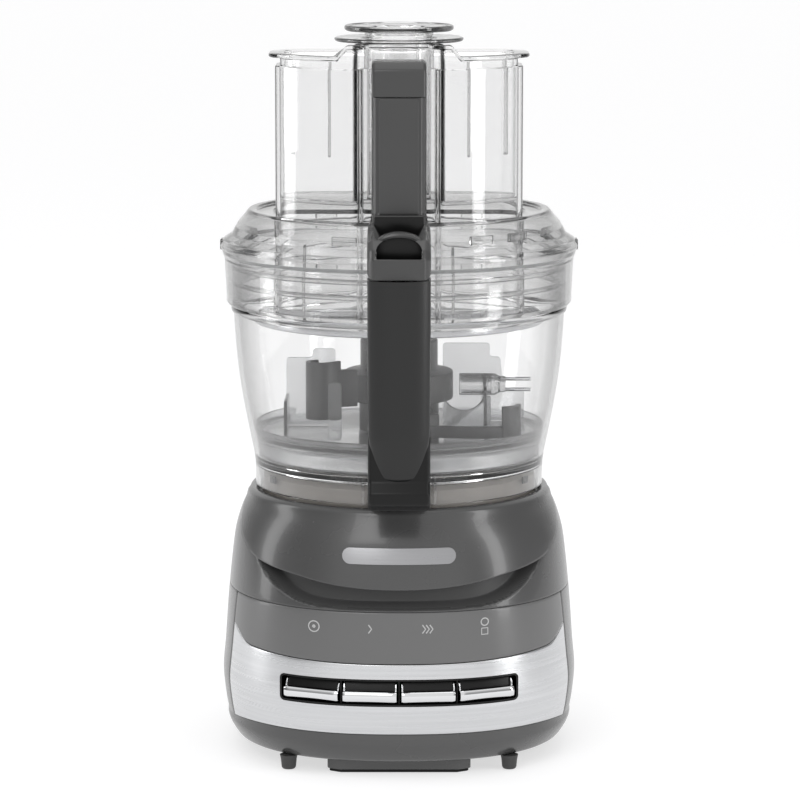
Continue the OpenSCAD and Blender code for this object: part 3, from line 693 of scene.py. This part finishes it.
# Buttons: a chrome bar in a black bezel, with a black well above and behind it that is painted shade for the recess
# there. Each is pressed square to its own face, so the posts between them stand halfway between their neighbours'
# directions.
BUTTON_GAP, POST_HALF = 1.34, 0.3
SLOT_MID = (SLOT_LOW + SLOT_HIGH) / 2
loop = box_outline(-SLOT_X + 0.15, SLOT_X - 0.15, SLOT_LOW + 0.15, SLOT_HIGH - 0.15, 2.5)
dense = []
for (x, z), (x1, z1) in zip(loop, loop[1:] + loop[:1]):
    n = max(1, round(math.dist((x, z), (x1, z1)) / 2.5))
    dense += [(x + (x1 - x) * i / n, z + (z1 - z) * i / n) for i in range(n)]


def bezel_ring(d, depth):
    """The slot's outline d inwards, depth behind the band's surface."""
    return [(x, front_y(x, z) + depth, z) for x, z in inset(dense, d)]


bezel = loft("button_bezel", [bezel_ring(0, 6), bezel_ring(0, 0.5), bezel_ring(0.2, 0.15), bezel_ring(0.9, 0.15),
                              bezel_ring(1.05, 0.5), bezel_ring(1.05, 6)], wrap=True)


def slot_x(i):
    """Where the space between button i and the one before it is."""
    return -SLOT_X + 1.5 + i * (2 * SLOT_X - 3) / 4


posts = [bezel]
for i in (1, 2, 3):
    x, x0, x1 = slot_x(i), slot_x(i - 1), slot_x(i + 1)
    post_turn = math.degrees(math.atan2(front_y(x1, SLOT_MID) - front_y(x0, SLOT_MID), x1 - x0))
    post = upright("post", box_outline(-POST_HALF, POST_HALF, 1.0, 6, 0.25), SLOT_LOW + 0.4, SLOT_HIGH - 0.4)
    posts.append(moved(post, post_turn, (x, front_y(x, SLOT_MID), 0)))
bezel = joined("button_frame_bezel", posts)
done(bezel, "root", "black_plastic", black_look, "button_frame")

ends = [-1 + 0.06 * k for k in range(1, 6)]
for i in range(4):
    a = Vector((slot_x(i), front_y(slot_x(i), SLOT_MID)))
    b = Vector((slot_x(i + 1), front_y(slot_x(i + 1), SLOT_MID)))
    mid, turn = (a + b) / 2, math.degrees(math.atan2(b.y - a.y, b.x - a.x))
    half = (b - a).length / 2 - BUTTON_GAP
    at = (mid.x, mid.y, SLOT_MID)
    rings = []
    for u in ends + span(-0.7, 0.7, 6)[1:-1] + [-e for e in ends[::-1]]:
        edge = max(0, (abs(u) - 0.76) / 0.24)
        s = (1 - edge ** 3) ** (1 / 3)
        rings.append([(half * math.copysign(min(1, abs(u) * 1.064), u), 1.6 - 3.1 * s * ease(cosd(p), 2.3) - 0.2,
                       -2.35 + 3.35 * (0.55 + 0.45 * s) * ease(sind(p), 2.6)) for p in around(40)])
    bar = moved(loft("bar", rings), turn, at)
    cheek_outline = rounded([(0.7, 0.2, 0.4), (4.4, 0.2), (4.4, 5.3), (2.6, 5.3, 1.5), (1.1, 2.6, 3)])
    cheeks = []
    for s in (-1, 1):
        x0 = s * (half - 0.55)
        cheeks.append(moved(slab("cheek", cheek_outline, x0 - 0.45, x0 + 0.45, 0.3), turn, at))
    bar = joined(f"button_{i + 1}_chrome", [bar, *cheeks])
    done(bar, f"button_{i + 1}", "chrome", chrome_look, f"button_{i + 1}", angle=45)
    # Painted shade: the black well stands in for the shade and dark reflection in the recess above the bar
    well = moved(slab("well", rounded([(2.3, -5.4, 0.5), (6, -5.4), (6, 5.5), (3.6, 5.5, 0.5), (2.2, 1.2, 2)]),
                      -half + 0.9, half - 0.9, 0.3), turn, at)
    well.name = f"button_{i + 1}_well"
    done(well, f"button_{i + 1}", "black_plastic", black_look)

# Feet and skid
FOOT = rounded([(0, 0), (3.4, 0, 1), (4, 1.2, 0.6), (4.4, 5.4, 0.6), (4.9, 7.9), (0, 7.9)])
feet = joined("rubber_feet_set", [lathe("foot", FOOT, 48, (x, y)) for x in (-61, 61) for y in (-74, 92)])
done(feet, "root", "rubber", foot_look, "rubber_feet")
SKID = [(-39.5, -80, 2), (-33, -84, 2), (33, -84, 2), (39.5, -80, 2), (39.5, -66, 2), (-39.5, -66, 2)]
done(upright("front_skid_block", rounded(SKID), 1.6, 8, 0.5), "root", "housing", housing_look, "front_skid")
done(upright("skid_pad_strip", rounded([(x * 0.97, -74 + (y + 74) * 0.94, 2) for x, y, _ in SKID]), 0, 1.6, 0.3),
     "root", "rubber", rubber_look, "skid_pad")

# ---- Platform ----
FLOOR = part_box("seat_ring")[1].z / MM + 0.3
RING_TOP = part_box("platform_ring")[1].z / MM
ring_profile = rounded([(77.4, 144), (77.2, 148, 1), (75.8, RING_TOP - 2.6, 0.6), (73.6, RING_TOP, 0.6),
                        (67, RING_TOP, 0.6), (66, RING_TOP - 1, 0.4), (66, 144)])
done(lathe("platform_ring_band", ring_profile), "root", "ring", ring_look, "platform_ring")

# ---- Bowl ----
BOWL = [(154.5, 81), (162, 81.4), (176, 83.9), (185, 85.7), (195, 87.6), (213.5, 90.4), (232, 92.1), (246, 92.9),
        (278, 93.6)]
BOWL_WALL = 2.6


def bowl_r(z):
    return curve(z, BOWL)


outside = ([(81 - BOWL_WALL + 0.3, 148.6), (80.7, 148.6), (81, 148.9), (81, 154.5)]
           + [(bowl_r(z), z) for z in span(158, 245, 30)])
outside += [(92.95, 246), (94.1, 246.9), (94.3, 247.3), (94.3, 249.2), (94.1, 249.6), (93.3, 250.4)]
outside += [(bowl_r(z), z) for z in span(254, 277.6, 6)] + [(93.2, 278), (91.4, 278)]
FLOOR_TOP, CORNER_R = FLOOR + 1.9, 4
inside = [(bowl_r(z) - BOWL_WALL, z) for z in span(277.5, FLOOR_TOP + CORNER_R, 38)]
wall_r = bowl_r(FLOOR_TOP + CORNER_R) - BOWL_WALL
corner = [(wall_r - CORNER_R * (1 - cosd(a)), FLOOR_TOP + CORNER_R - CORNER_R * sind(a)) for a in span(12, 90, 8)]
middle = [(14.5, FLOOR_TOP), (13, FLOOR_TOP + 1.5), (13, 171.4), (12.6, 172), (10.9, 172), (10.5, 171.6),
          (10.5, FLOOR), (81 - BOWL_WALL - 1.2, FLOOR), (81 - BOWL_WALL, FLOOR - 1.2), (81 - BOWL_WALL, 148.9)]
bowl = lathe("work_bowl_shell", outside + inside + corner + middle, 256)
ticks = []
for side in (-1, 1):
    for a in span(14, 27, 7):
        t = 270 + side * a
        ticks.append(moved(upright("tick", box_outline(78.6, 81.35, -0.35, 0.35, 0.2), FLOOR + 0.6, FLOOR + 3.4), t))
    ticks.append(upright("rib", box_outline(side * 19.6 - 0.7, side * 19.6 + 0.7, -81.6, -77.2, 0.3), 149,
                         FLOOR - 0.2))
bowl = joined("work_bowl_clear", [bowl, *ticks])
done(bowl, "bowl", "clear", clear_look, "work_bowl", angle=28)

# ---- Handle: the grip, and the darker foot that joins it to the bowl ----
HANDLE_TOP = 277
grip_outline = rounded([
    (-84, 171.5), (-99, 173.5, 5), (-107.5, 178.5, 6), (-110, 187, 8), (-110, 225, 8), (-107.5, 233.5, 6),
    (-99, 238, 5), (-91.6, 240), (-91.6, 249), (-101.4, 249), (-101.4, 296), (-126, 296), (-126, 190, 30),
    (-121.5, 169, 4), (-112, 165.5, 3), (-84, 165)], 8)
grip = slab("grip", grip_outline, -17, 17, 16, 14, 4.2)
# Narrower towards its lower end, and crowned across its front
for v in grip.data.vertices:
    z, y = v.co.z / MM, v.co.y / MM
    v.co.x *= 1 - 0.24 * smooth((202 - z) / 36) * smooth((-104 - y) / 8)
    v.co.y += 4 * MM * min(1, abs(v.co.x) / MM / 17) ** 2 * min(1, max(0, (-110 - y) / 16))
foot = slab("handle_foot", rounded([
    (-81.6, 155), (-97, 152.6, 3), (-118, 152.6, 5), (-124.6, 157, 4), (-124.8, 163, 3), (-120.6, 169, 4),
    (-119.6, 190, 8), (-114.5, 199, 4), (-110.6, 188, 6), (-107.8, 180, 6), (-99, 174.8, 5),
    (-82.6, 172.6)]), -16.8, 16.8, 2.6)
cut(grip, upright("above", box_outline(-30, 30, -140, -90, 1), HANDLE_TOP, 300))
cut(grip, lathe("hole", [(0, 263), (3.3, 263), (3.3, 279), (0, 279)], 40, (0, -118)))
grip.name = "handle_grip"
done(grip, "bowl", "handle", handle_look, "bowl_handle", angle=50)
done(foot, "bowl", "handle", bracket_look)

# Interlock spring: a wire coil at one fixed length; the real one shortens as the rod goes down
SPRING_LOW, SPRING_HIGH = (corner.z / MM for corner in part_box("rod_spring"))
SPRING_Y, SPRING_R, WIRE_R, TURNS = -118, 4, 0.55, 11
coil_rings = []
for a in range(0, 360 * TURNS + 1, 20):
    z = SPRING_LOW + 0.6 + (SPRING_HIGH - SPRING_LOW - 1.2) * a / (360 * TURNS)
    ring = []
    for p in around(10):
        r = SPRING_R + WIRE_R * cosd(p)
        ring.append((r * cosd(a), SPRING_Y + r * sind(a), z + WIRE_R * sind(p)))
    coil_rings.append(ring)
coil = done(loft("rod_spring_coil", coil_rings), "bowl", "steel", steel_look, "rod_spring")
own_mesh(coil)

# ---- Stored accessories ----
HUB_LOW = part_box("dough_blade")[0].z / MM
caddy_parts = [lathe("tray", rounded([
    (77.9, FLOOR + 5.4, 0.4), (80.6, 176, 6), (82.2, 183, 0.5), (80.6, 183, 0.5), (79.2, HUB_LOW, 3),
    (21, HUB_LOW, 0.4), (21, 177, 0.4), (78.2, 177, 3), (76.3, FLOOR + 5.4, 0.4)]), 192)]


def divider(y, outline):
    return facing("divider", rounded([(x, z, 2) for x, z in outline]), y, y + 1.8, 0.4)


caddy_parts += [
    divider(8, [(-64, 179), (-64, 218), (-49, 218), (-49, 223), (-36, 223), (-36, 179)]),
    divider(-47, [(-39, 179), (-39, 212), (-31.5, 212), (-31.5, 179)]),
    divider(24, [(25, 179), (25, 224), (52, 224), (52, 216), (58, 216), (60, 197), (72, 197), (72, 179)]),
    facing("divider", rounded([(25, 179)]
                              + [(36 + 11.5 * cosd(a), 204.6 + 11.5 * sind(a)) for a in span(196, 344, 14)]
                              + [(51, 201, 1), (51, 179)]), -26, -24.2, 0.4),
    slab("divider", rounded([(-26, 179), (8, 179), (8, 198, 4), (-26, 198, 4)]), -64, -62.2, 0.4),
    slab("divider", rounded([(-24, 179), (24, 179), (24, 206, 3), (6.6, 206, 2), (6.6, 201, 2)]
                            + [(6.6 * cosd(a), 203.6 + 6.6 * sind(a)) for a in span(-10, -170, 10)]
                            + [(-6.6, 201, 2), (-6.6, 206, 2), (-24, 206, 3)]), 47, 48.8, 0.3),
]
caddy = joined("storage_caddy_tray", caddy_parts)
done(caddy, "bowl", "smoke", smoke_look, "storage_caddy")

hub = lathe("hub", rounded([(17.4, HUB_LOW), (22.4, HUB_LOW, 0.6), (22.4, 196, 1), (30.5, 196.4, 0.8),
                            (30.5, 212, 0.8), (21.8, 213.4, 2), (21.8, 230, 1.2), (0, 230), (0, 206),
                            (17.4, 206, 1)]), 120)
curl = [(-33.2, -30), (-36, -33.5), (-40, -36.6), (-44.5, -37.8), (-48.6, -36), (-50.4, -31.8), (-49, -27.4),
        (-45, -25.2)]


def leaf(name, path, thick, low, high):
    """A wall along a smooth path in plan."""
    fine = []
    for i in range(len(path) - 1):
        p0, p1, p2, p3 = (path[max(0, min(len(path) - 1, i + k))] for k in (-1, 0, 1, 2))
        for t in span(0, 1, 5)[:-1]:
            fine.append(tuple(0.5 * (2 * p1[c] + (p2[c] - p0[c]) * t
                                     + (2 * p0[c] - 5 * p1[c] + 4 * p2[c] - p3[c]) * t * t
                                     + (3 * p1[c] - p0[c] - 3 * p2[c] + p3[c]) * t ** 3) for c in (0, 1)))
    fine.append(path[-1])
    left, right = [], []
    for i, p in enumerate(fine):
        d = (Vector(fine[min(i + 1, len(fine) - 1)]) - Vector(fine[max(i - 1, 0)])).normalized() * thick / 2
        left.append((p[0] - d.y, p[1] + d.x))
        right.append((p[0] + d.y, p[1] - d.x))
    return upright(name, left + right[::-1], low, high, 0.5, 2)


blade_parts = [hub, leaf("curl", curl, 2.4, 189.5, 221.6),
               leaf("arm", [(-24, -27.5), (-29, -29.5), (-34.2, -30.6)], 5, 196, 216.6),
               leaf("sweep", [(14, -34), (32, -37.5), (48, -38.5), (60, -34), (64, -27)], 4, HUB_LOW + 0.6, 186),
               leaf("tip", [(57, -37), (61.5, -35.5), (65.6, -31), (66, -26)], 3, HUB_LOW + 0.6, 197),
               leaf("root", [(15, -16), (16, -26), (19, -35)], 7, HUB_LOW + 0.6, 192)]
done(joined("dough_blade_moulding", blade_parts), "bowl", "hub", hub_look, "dough_blade")


def along_x(obj, y, z):
    """Lays a turned piece down along +X."""
    return mapped(obj, lambda px, py, pz: (pz, px + y * MM, py + z * MM))


ADAPTER = rounded([(0, 34), (6.2, 34, 0.5), (6.2, 54, 1.2), (4.6, 57, 0.8), (4.6, 60, 0.5), (0, 60), (0, 52),
                   (4, 52, 0.5), (4, 35.5), (0, 35.5)])
adapter = along_x(lathe("stem_adapter_tube", ADAPTER, 64), 0, 204)
done(adapter, "bowl", "smoke", clear_look, "stem_adapter")
PRONG = rounded([(0, 60), (1.1, 60), (1.1, 74.6, 0.5), (0, 74.6)])
prongs = joined("adapter_prong_pair", [along_x(lathe("prong", PRONG, 24), 0, 204 + s) for s in (-3, 3)])
done(prongs, "bowl", "steel", chrome_look, "adapter_prongs")

# Slicing disc: a turned-up rim, two slots and their raised cutting edges
disc = lathe("disc", rounded([(12, 241), (77, 241), (79.2, 240.6, 0.5), (80.8, 241, 0.8), (80.8, 245, 0.5),
                              (79.6, 245, 0.4), (79.2, 242.2, 0.8), (12, 242.2)]), 192)
for k in (0, 180):
    cut(disc, moved(upright("cut", box_outline(16, 70, -9, 3, 3), 238, 243.5), k))
edges = []
for k in (0, 180):
    edge = upright("edge", [(16, 3.2), (70, 3.2), (70, 15), (43, 12.6), (16, 10)], 242.25, 243.4, 0.25, 2)
    for v in edge.data.vertices:
        v.co.z -= max(0, 9 - v.co.y / MM) * 0.14 * MM
        v.co.z += 0.9 * MM
    edges.append(moved(edge, k))
for k in range(5):
    for q in (60, 240):
        a, r = q + 17 * k, 30 + 9 * (k % 3)
        edges.append(lathe("boss", rounded([(0, 242.1), (3.4, 242.1, 0.2), (2.6, 242.9, 0.4), (0, 242.9)]), 24,
                           (r * cosd(a), r * sind(a))))
done(joined("slicing_disc_plate", [disc, *edges]), "bowl", "steel", steel_look, "slicing_disc")
hub_profile = rounded([(8.4, 229.8), (21, 229.8, 0.8), (21, 240.8), (12, 240.9), (12, 242.3), (15, 242.4, 0.4),
                       (15, 246, 0.8), (11, 246.4, 0.5), (11, 249, 0.8), (8.4, 249)])
done(lathe("disc_hub_moulding", hub_profile, 96), "bowl", "hub", hub_look, "disc_hub")

# Chopping blades: ground edges on two swept crescents
blade_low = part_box("chopping_blades")[0].z / MM
BLADE_THICK = 1.4
blade_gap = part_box("chopping_blades")[1].z / MM - BLADE_THICK - blade_low


def sweep_point(t, lag):
    """A point on a blade's edge, t from its root to its tip, lag degrees round."""
    r = 15 + 59 * t
    a = 58 * t ** 1.4 + lag
    return (r * cosd(a), r * sind(a))


arms = []
for k in (0, 1):
    steps = span(0, 1, 20)
    low = blade_low + blade_gap * k
    rings = []
    for t in steps:
        lag = -24 * (1 - t) - 5
        p, q = sweep_point(t, 0), sweep_point(t, lag)
        g = (p[0] * 0.75 + q[0] * 0.25, p[1] * 0.75 + q[1] * 0.25)
        rings.append([(*q, low + 0.2), (*g, low + 0.05), (*p, low + 0.6), (*p, low + 0.75), (*g, low + 1.35),
                      (*q, low + 1.2)])
    arms.append(moved(loft("arm", rings), 180 * k + 20))
    high = low + BLADE_THICK
    arms.append(lathe("collar", rounded([(16.1, low), (19.5, low, 0.3), (19.5, high, 0.3), (16.1, high)]), 64))
done(joined("chopping_blade_pair", arms), "blade", "blade_steel", blade_look, "chopping_blades", angle=20)
hub_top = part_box("blade_hub")[1].z / MM
hub_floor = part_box("blade_hub")[0].z / MM
blade_hub = rounded([(13.3, hub_floor), (16, hub_floor, 0.6), (16, 186, 2), (13.6, hub_top, 2), (0, hub_top),
                     (0, 192.6), (8.3, 192.6), (8.3, 173), (13.3, 173)])
done(lathe("blade_hub_moulding", blade_hub, 96), "blade", "hub", hub_look, "blade_hub")


# ---- Lid ----
def arc(cx, cy, r, a0, a1, n):
    """Points along an arc round (cx, cy)."""
    return [(cx + r * cosd(a), cy + r * sind(a)) for a in span(a0, a1, n)]


# The feed tube: radii of its front, sides, notch tips and notch corners, and the notch's place
FEED_R, SIDE_R, TIP_R, ROOT_R = 80, 14, 6, 4
NOTCH_Y, NOTCH_HALF = -62, 19.5


def feed_plan(t):
    """Plan of the feed tube moved inwards by t, under TIP_R: a slab of a circle with a notch in front."""
    side_x, back_y = 54, -20
    side_y = -math.sqrt((FEED_R - SIDE_R) ** 2 - side_x ** 2)
    tip_x = NOTCH_HALF + TIP_R
    tip_y = -math.sqrt((FEED_R - TIP_R) ** 2 - tip_x ** 2)
    side_a = math.degrees(math.atan2(-side_y, side_x))
    tip_a = math.degrees(math.atan2(-tip_y, tip_x))
    right = (arc(NOTCH_HALF - ROOT_R, NOTCH_Y - ROOT_R, ROOT_R + t, 90, 0, 8)
             + arc(tip_x, tip_y, TIP_R - t, 180, 360 - tip_a, 10)
             + arc(0, 0, FEED_R - t, 361 - tip_a, 359 - side_a, 14)
             + arc(side_x, side_y, SIDE_R - t, 360 - side_a, 360, 8) + arc(side_x, back_y, SIDE_R - t, 0, 90, 12))
    return [(-x, y) for x, y in right[::-1]] + right


def feed_ring(t, z, lift=None):
    """The feed tube's plan moved inwards by t, at a height."""
    return [(x, y, z + (lift(x, y) if lift else 0)) for x, y in feed_plan(t)]


TUBE_TOP = 386
tube = loft("feed_tube_clear", [
    feed_ring(0.4, 250), feed_ring(0, 250.5), feed_ring(0, 300), feed_ring(0, 340), feed_ring(0, TUBE_TOP - 0.5),
    feed_ring(0.5, TUBE_TOP), feed_ring(2, TUBE_TOP), feed_ring(2.5, TUBE_TOP - 0.5), feed_ring(2.5, 340),
    feed_ring(2.5, 300), feed_ring(2.5, 250.4), feed_ring(2.1, 250)], wrap=True)
done(tube, "lid", "clear", clear_look, "feed_tube", angle=28)

lid_profile = rounded([
    (0, 303.5), (69, 303.5), (70.5, 302.4, 1), (79, 302.4, 1), (80, 303.9, 0.6), (84, 303.9, 1.6), (87.3, 300, 4),
    (90, 297), (92, 293.5, 5), (93.8, 290, 3), (98.6, 287, 2), (100.3, 283.3, 2.4), (99.2, 280, 1.5),
    (98, 276.5, 3), (96.9, 256, 3), (97, 252.6, 1.4), (95.6, 250.6, 0.8), (94.7, 250.6, 0.3), (95.2, 276, 2),
    (96.6, 280, 2), (96.4, 283.3, 1.5), (95.3, 285.4, 1.5), (91.2, 288.5, 2), (89.4, 293, 4), (87.4, 296),
    (84.6, 299, 3), (82.6, 301, 1.5), (0, 301)])
lid = lathe("lid_shell_clear", lid_profile, 256)
cut(lid, loft("hole", [feed_ring(-0.2, 290), feed_ring(-0.2, 310)]))
extras = []
for a in (180, 0):
    extras.append(moved(upright("ear", box_outline(98.4, 100.25, -5, 5, 0.8), 280.6, 286.6, 0.8), a))
for x in (-50.8, 28.8):
    y = -math.sqrt(88 ** 2 - x * x)
    extras.append(upright("rib", box_outline(x - 0.7, x + 0.7, y, y + 9, 0.3), 254, 289, 0.3))
for a in (250, 262, 301, 318, 200, 340, 120, 60):
    extras.append(moved(upright("tab", box_outline(84.5, 87, -7, 7, 0.6), 290.5, 295.5, 0.5), a))
for z in (262.5, 271):
    step = rounded([(90, z), (91, z + 0.6, 0.3), (91, z + 2.4, 0.3), (90, z + 3), (89.4, z + 1.5)])
    extras.append(lathe("step", step, 160))
lid = joined("lid_shell_moulding", [lid, *extras])
done(lid, "lid", "clear", lid_look, "lid_shell", angle=28)

# Cover in front of the feed tube: column, hood and arched mouth
COVER_HALF = 14.8
SEAM = 372.2    # between the column and its cap
cover_outline = rounded([
    (-64.8, 304), (-64.8, 390), (-90, 390), (-90, 309, 4), (-93.5, 305.6, 4), (-101, 302, 6), (-114, 298, 8),
    (-122, 293.4, 4), (-126, 288.6, 3), (-126, 277.7), (-102, 277.7), (-102, 288.6), (-95.8, 292), (-93.8, 295.4),
    (-91.2, 299), (-86.4, 304)], 8)
cover = slab("lid_cover_column", cover_outline, -17, 17, 3.8, 8)
# Narrower up the column, and crowned across the hood's front and the column's
for v in cover.data.vertices:
    v.co.x *= 1 - (1 - COVER_HALF / 17) * smooth((v.co.z / MM - 300) / 9)
    v.co.y += 6 * MM * min(1, abs(v.co.x) / MM / 17) ** 2.5 * min(1, max(0, (-112 - v.co.y / MM) / 14))
    if v.co.z > 309 * MM:
        v.co.y += 3 * MM * min(1, abs(v.co.x) / MM / COVER_HALF) ** 5 * min(1, max(0, (-80 - v.co.y / MM) / 8))
arch = [(12.2 * cosd(a), 293 + 6.6 * sind(a)) for a in span(180, 0, 20)]
cut(cover, upright("above", box_outline(-30, 30, -100, -50, 1), SEAM - 0.25, 400))
cut(cover, facing("mouth", rounded([(-12.9, 290.4, 0.5)] + arch + [(12.9, 290.4, 0.5)]), -140, -98, 0))
cut(cover, upright("cavity", box_outline(-12.4, 12.4, -122.6, -98, 1), 285, 291))
well = loft("well", [[(sx * w, y, z) for sx, y in ((-1, -112), (1, -112), (1, -94.5), (-1, -94.5))]
                     for z, w in ((297.6, 9.5), (301, 11.5), (304.5, 13.6), (312, 13.6))])
cut(cover, well)
cover.name = "lid_cover_column"
done(cover, "lid", "handle", cover_look, "lid_cover", angle=38)
rim = []
for a in span(0, 180, 24):
    c, s = cosd(a), sind(a)
    rim.append([((12.9 + 1.5 * cosd(p)) * c, -109 - 2.4 * s - 3 * sind(p), 293.2 + (7.4 + 2 * cosd(p)) * s)
                for p in around(12)])
done(loft("mouth_rim", rim), "lid", "handle", cover_look)
# Painted shade: black liners at the back of the mouth and of the well above it stand in for the shade inside them
liner = [facing("liner", rounded([(-12.3, 285.1)] + arch + [(12.3, 285.1)]), -110, -98.2, 0.3),
         facing("liner", box_outline(-13.3, 13.3, 298.2, 308.6, 0.5), -95.2, -94.2, 0.2)]
done(joined("mouth_shade_liner", liner), "lid", "black_plastic", black_look)
inlay = facing("cover_inlay", box_outline(-10.8, 10.8, 309, 371.4, 1.2), -90.6, -86, 0.5)
done(inlay, "lid", "handle", cover_look)
CAP_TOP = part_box("cover_cap")[1].z / MM
cap = slab("cover_cap_moulding",
           rounded([(-64.8, 360), (-64.8, CAP_TOP, 1.5), (-86, CAP_TOP, 3), (-90, CAP_TOP - 4.4, 3), (-90, 360)], 6),
           -COVER_HALF, COVER_HALF, 2.6, 6)
cut(cap, upright("below", box_outline(-30, 30, -100, -50, 1), 350, SEAM + 0.2))
cap.name = "cover_cap_moulding"
done(cap, "lid", "handle", cover_look, "cover_cap", angle=38)

# ---- Pushers ----
FLANGE = TUBE_TOP + 4.6


def saddle(x, y):
    """Lift of the flange towards the raised mouth."""
    return 6.3 * smooth((33.8 - abs(x)) / 6)


# The first ring closes the cup's underside and the last its inner floor
cup = loft("cup", [
    feed_ring(4.4, 312), feed_ring(3.5, 312.3), feed_ring(3.1, 313.2), feed_ring(3.1, 345), feed_ring(3.1, 384),
    feed_ring(2.9, FLANGE - 1, saddle), feed_ring(1.5, FLANGE, saddle), feed_ring(-2.8, FLANGE, saddle),
    feed_ring(-3.4, FLANGE + 0.5, saddle), feed_ring(-3.5, FLANGE + 1.1, saddle),
    feed_ring(-3.3, FLANGE + 1.9, saddle), feed_ring(-2.7, FLANGE + 2.2, saddle),
    feed_ring(4.2, FLANGE + 2.2, saddle), feed_ring(4.9, FLANGE + 1.6, saddle), feed_ring(5.1, 384),
    feed_ring(5.1, 345), feed_ring(5.1, 315.2), feed_ring(5.4, 314.4), feed_ring(5.9, 314)])
SMALL_Y = -34
guide = lathe("guide", rounded([(18.6, 314.1), (20.6, 314.1, 0.3), (20.6, 398.8, 0.3), (18.6, 398.8)]), 128,
              (0, SMALL_Y))
mouth_profile = rounded([(20.9, 399.4), (30, 399.4), (34.6, 399, 1), (35.5, 400, 0.6), (35.5, 400.8, 0.5),
                         (34.3, 401.4, 0.5), (31.5, 400.9, 0.6), (20.9, 400.7, 0.4)])
mouth_ring = lathe("mouth_ring", mouth_profile, 160, (0, SMALL_Y))
pusher_parts = [cup, guide, mouth_ring]
for x in (-56.6, -37, 37, 56.6):
    y0 = -math.sqrt(75 ** 2 - x * x) + 1
    thick, deep = (1.1, 7) if abs(x) > 50 else (0.8, 4)
    pusher_parts.append(upright("rib", box_outline(x - thick, x + thick, y0, y0 + deep, 0.4), 338, FLANGE, 0.5))
done(joined("large_pusher_clear", pusher_parts), "large_pusher", "clear", clear_look, "large_pusher", angle=28)

small = lathe("small_pusher_clear", rounded([
    (0, 315.6), (17, 315.6), (18, 316.6, 0.6), (18, 401.8, 0.6), (18.8, 402.4, 0.6), (18.8, 403.8, 0.8),
    (18.4, 404.7, 0.4), (28.6, 404.7), (30, 405.4, 0.8), (30, 407.2, 0.6), (29.2, 408, 0.5), (27.8, 407.2, 0.6),
    (17.4, 406.8, 0.8), (16, 405.6, 0.6), (16, 318), (0, 318)]), 160, (0, SMALL_Y))
small_rib = upright("rib", box_outline(9.2, 10.4, -50.6, -48, 0.3), 380, 402, 0.3)
done(joined("small_pusher_moulding", [small, small_rib]), "small_pusher", "clear", clear_look, "small_pusher",
     angle=28)

# ---- CAD nodes that stay get their finish ----
NODE_LOOKS = {
    "bottom_cover": recess_shade_and_bottom_look, "housing_screws": cast_look, "cord_gland": rubber_look, "bowl_platform": housing_look,
    "lock_lugs": black_look, "spindle_housing": cast_look, "spindle_bearings": steel_look, "shaft_seal": rubber_look,
    "motor_stator": cast_look, "field_coils": copper_look, "motor_bridge": cast_look, "motor_bearings": steel_look,
    "brush_holders": black_look, "drive_belt": rubber_look, "control_board": board_look, "switch_board": board_look,
    "button_switches": black_look, "interlock_switch": black_look, "motor_rotor": cast_look,
    "commutator": copper_look, "cooling_fan": fan_look, "motor_pulley": cast_look, "drive_spindle": steel_look,
    "spindle_pulley": hub_look, "seat_ring": ring_look, "interlock_rod": fan_look, "lid_seal": seal_look,
}
for node, look in NODE_LOOKS.items():
    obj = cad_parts[node]
    obj.data.materials.clear()
    obj.data.materials.append(look)

# ---- Floor, light and air ----
floor_mesh = bpy.data.meshes.new("floor")
bm = bmesh.new()
bmesh.ops.create_grid(bm, x_segments=2, y_segments=2, size=40)
bm.to_mesh(floor_mesh)
bm.free()
floor = shown("floor", floor_mesh)
floor.location.z = -0.0003    # just under the feet
floor_look = bpy.data.materials.new("pale_floor")
floor_look.use_nodes = True
put(floor_look.node_tree.nodes["Principled BSDF"], Base_Color=(0.42, 0.42, 0.425, 1), Roughness=0.8,
    Specular_IOR_Level=0.1, Emission_Color=(1, 1, 1, 1), Emission_Strength=0.62)
floor_mesh.materials.append(floor_look)


def lamp(name, at, towards, size, power, shape=(1, 1)):
    """A soft lamp that faces a point."""
    data = bpy.data.lights.new(name, "AREA")
    data.shape = "RECTANGLE"
    data.size, data.size_y = size * shape[0], size * shape[1]
    data.energy = power
    obj = shown(name, data)
    obj.location = at
    obj.rotation_euler = (Vector(towards) - Vector(at)).to_track_quat("-Z", "Y").to_euler()


lamp("left", (-1.95, 0.25, 0.8), (0, 0, 0.2), 0.8, 9, (0.6, 1.9))
lamp("right", (1.8, -0.8, 0.8), (0, 0, 0.2), 0.8, 12, (0.5, 1.9))
lamp("front", (-0.7, -1.9, 1.7), (0, 0, 0.2), 1.0, 10)
lamp("top", (0, 0.1, 1.7), (0, 0, 0.2), 1.2, 4)

# Pale air that gets darker to the sides, which gives the clear plastic its outlines
world = bpy.data.worlds.new("studio")
scene.world = world
world.use_nodes = True
air, join = world.node_tree.nodes, world.node_tree.links
background = put(air["Background"], Strength=1.0)
where = air.new("ShaderNodeTexCoord")
split = air.new("ShaderNodeSeparateXYZ")
join.new(where.outputs["Generated"], split.inputs["Vector"])
side = air.new("ShaderNodeMath")
side.operation = "ABSOLUTE"
join.new(split.outputs["X"], side.inputs[0])
ramp = air.new("ShaderNodeValToRGB")
steps = ramp.color_ramp.elements
steps[0].color = (0.98, 0.98, 0.98, 1)
steps[1].color = (0.25, 0.25, 0.26, 1)
for at, v in ((0.55, 0.95), (0.72, 0.42), (0.86, 0.2)):
    steps.new(at).color = (v, v, v, 1)
join.new(side.outputs["Value"], ramp.inputs["Fac"])
join.new(ramp.outputs["Color"], background.inputs["Color"])

scene.view_settings.view_transform = "Standard"
scene.view_settings.look = "None"
scene.cycles.max_bounces = 32
scene.cycles.transmission_bounces = 32
scene.cycles.transparent_max_bounces = 32
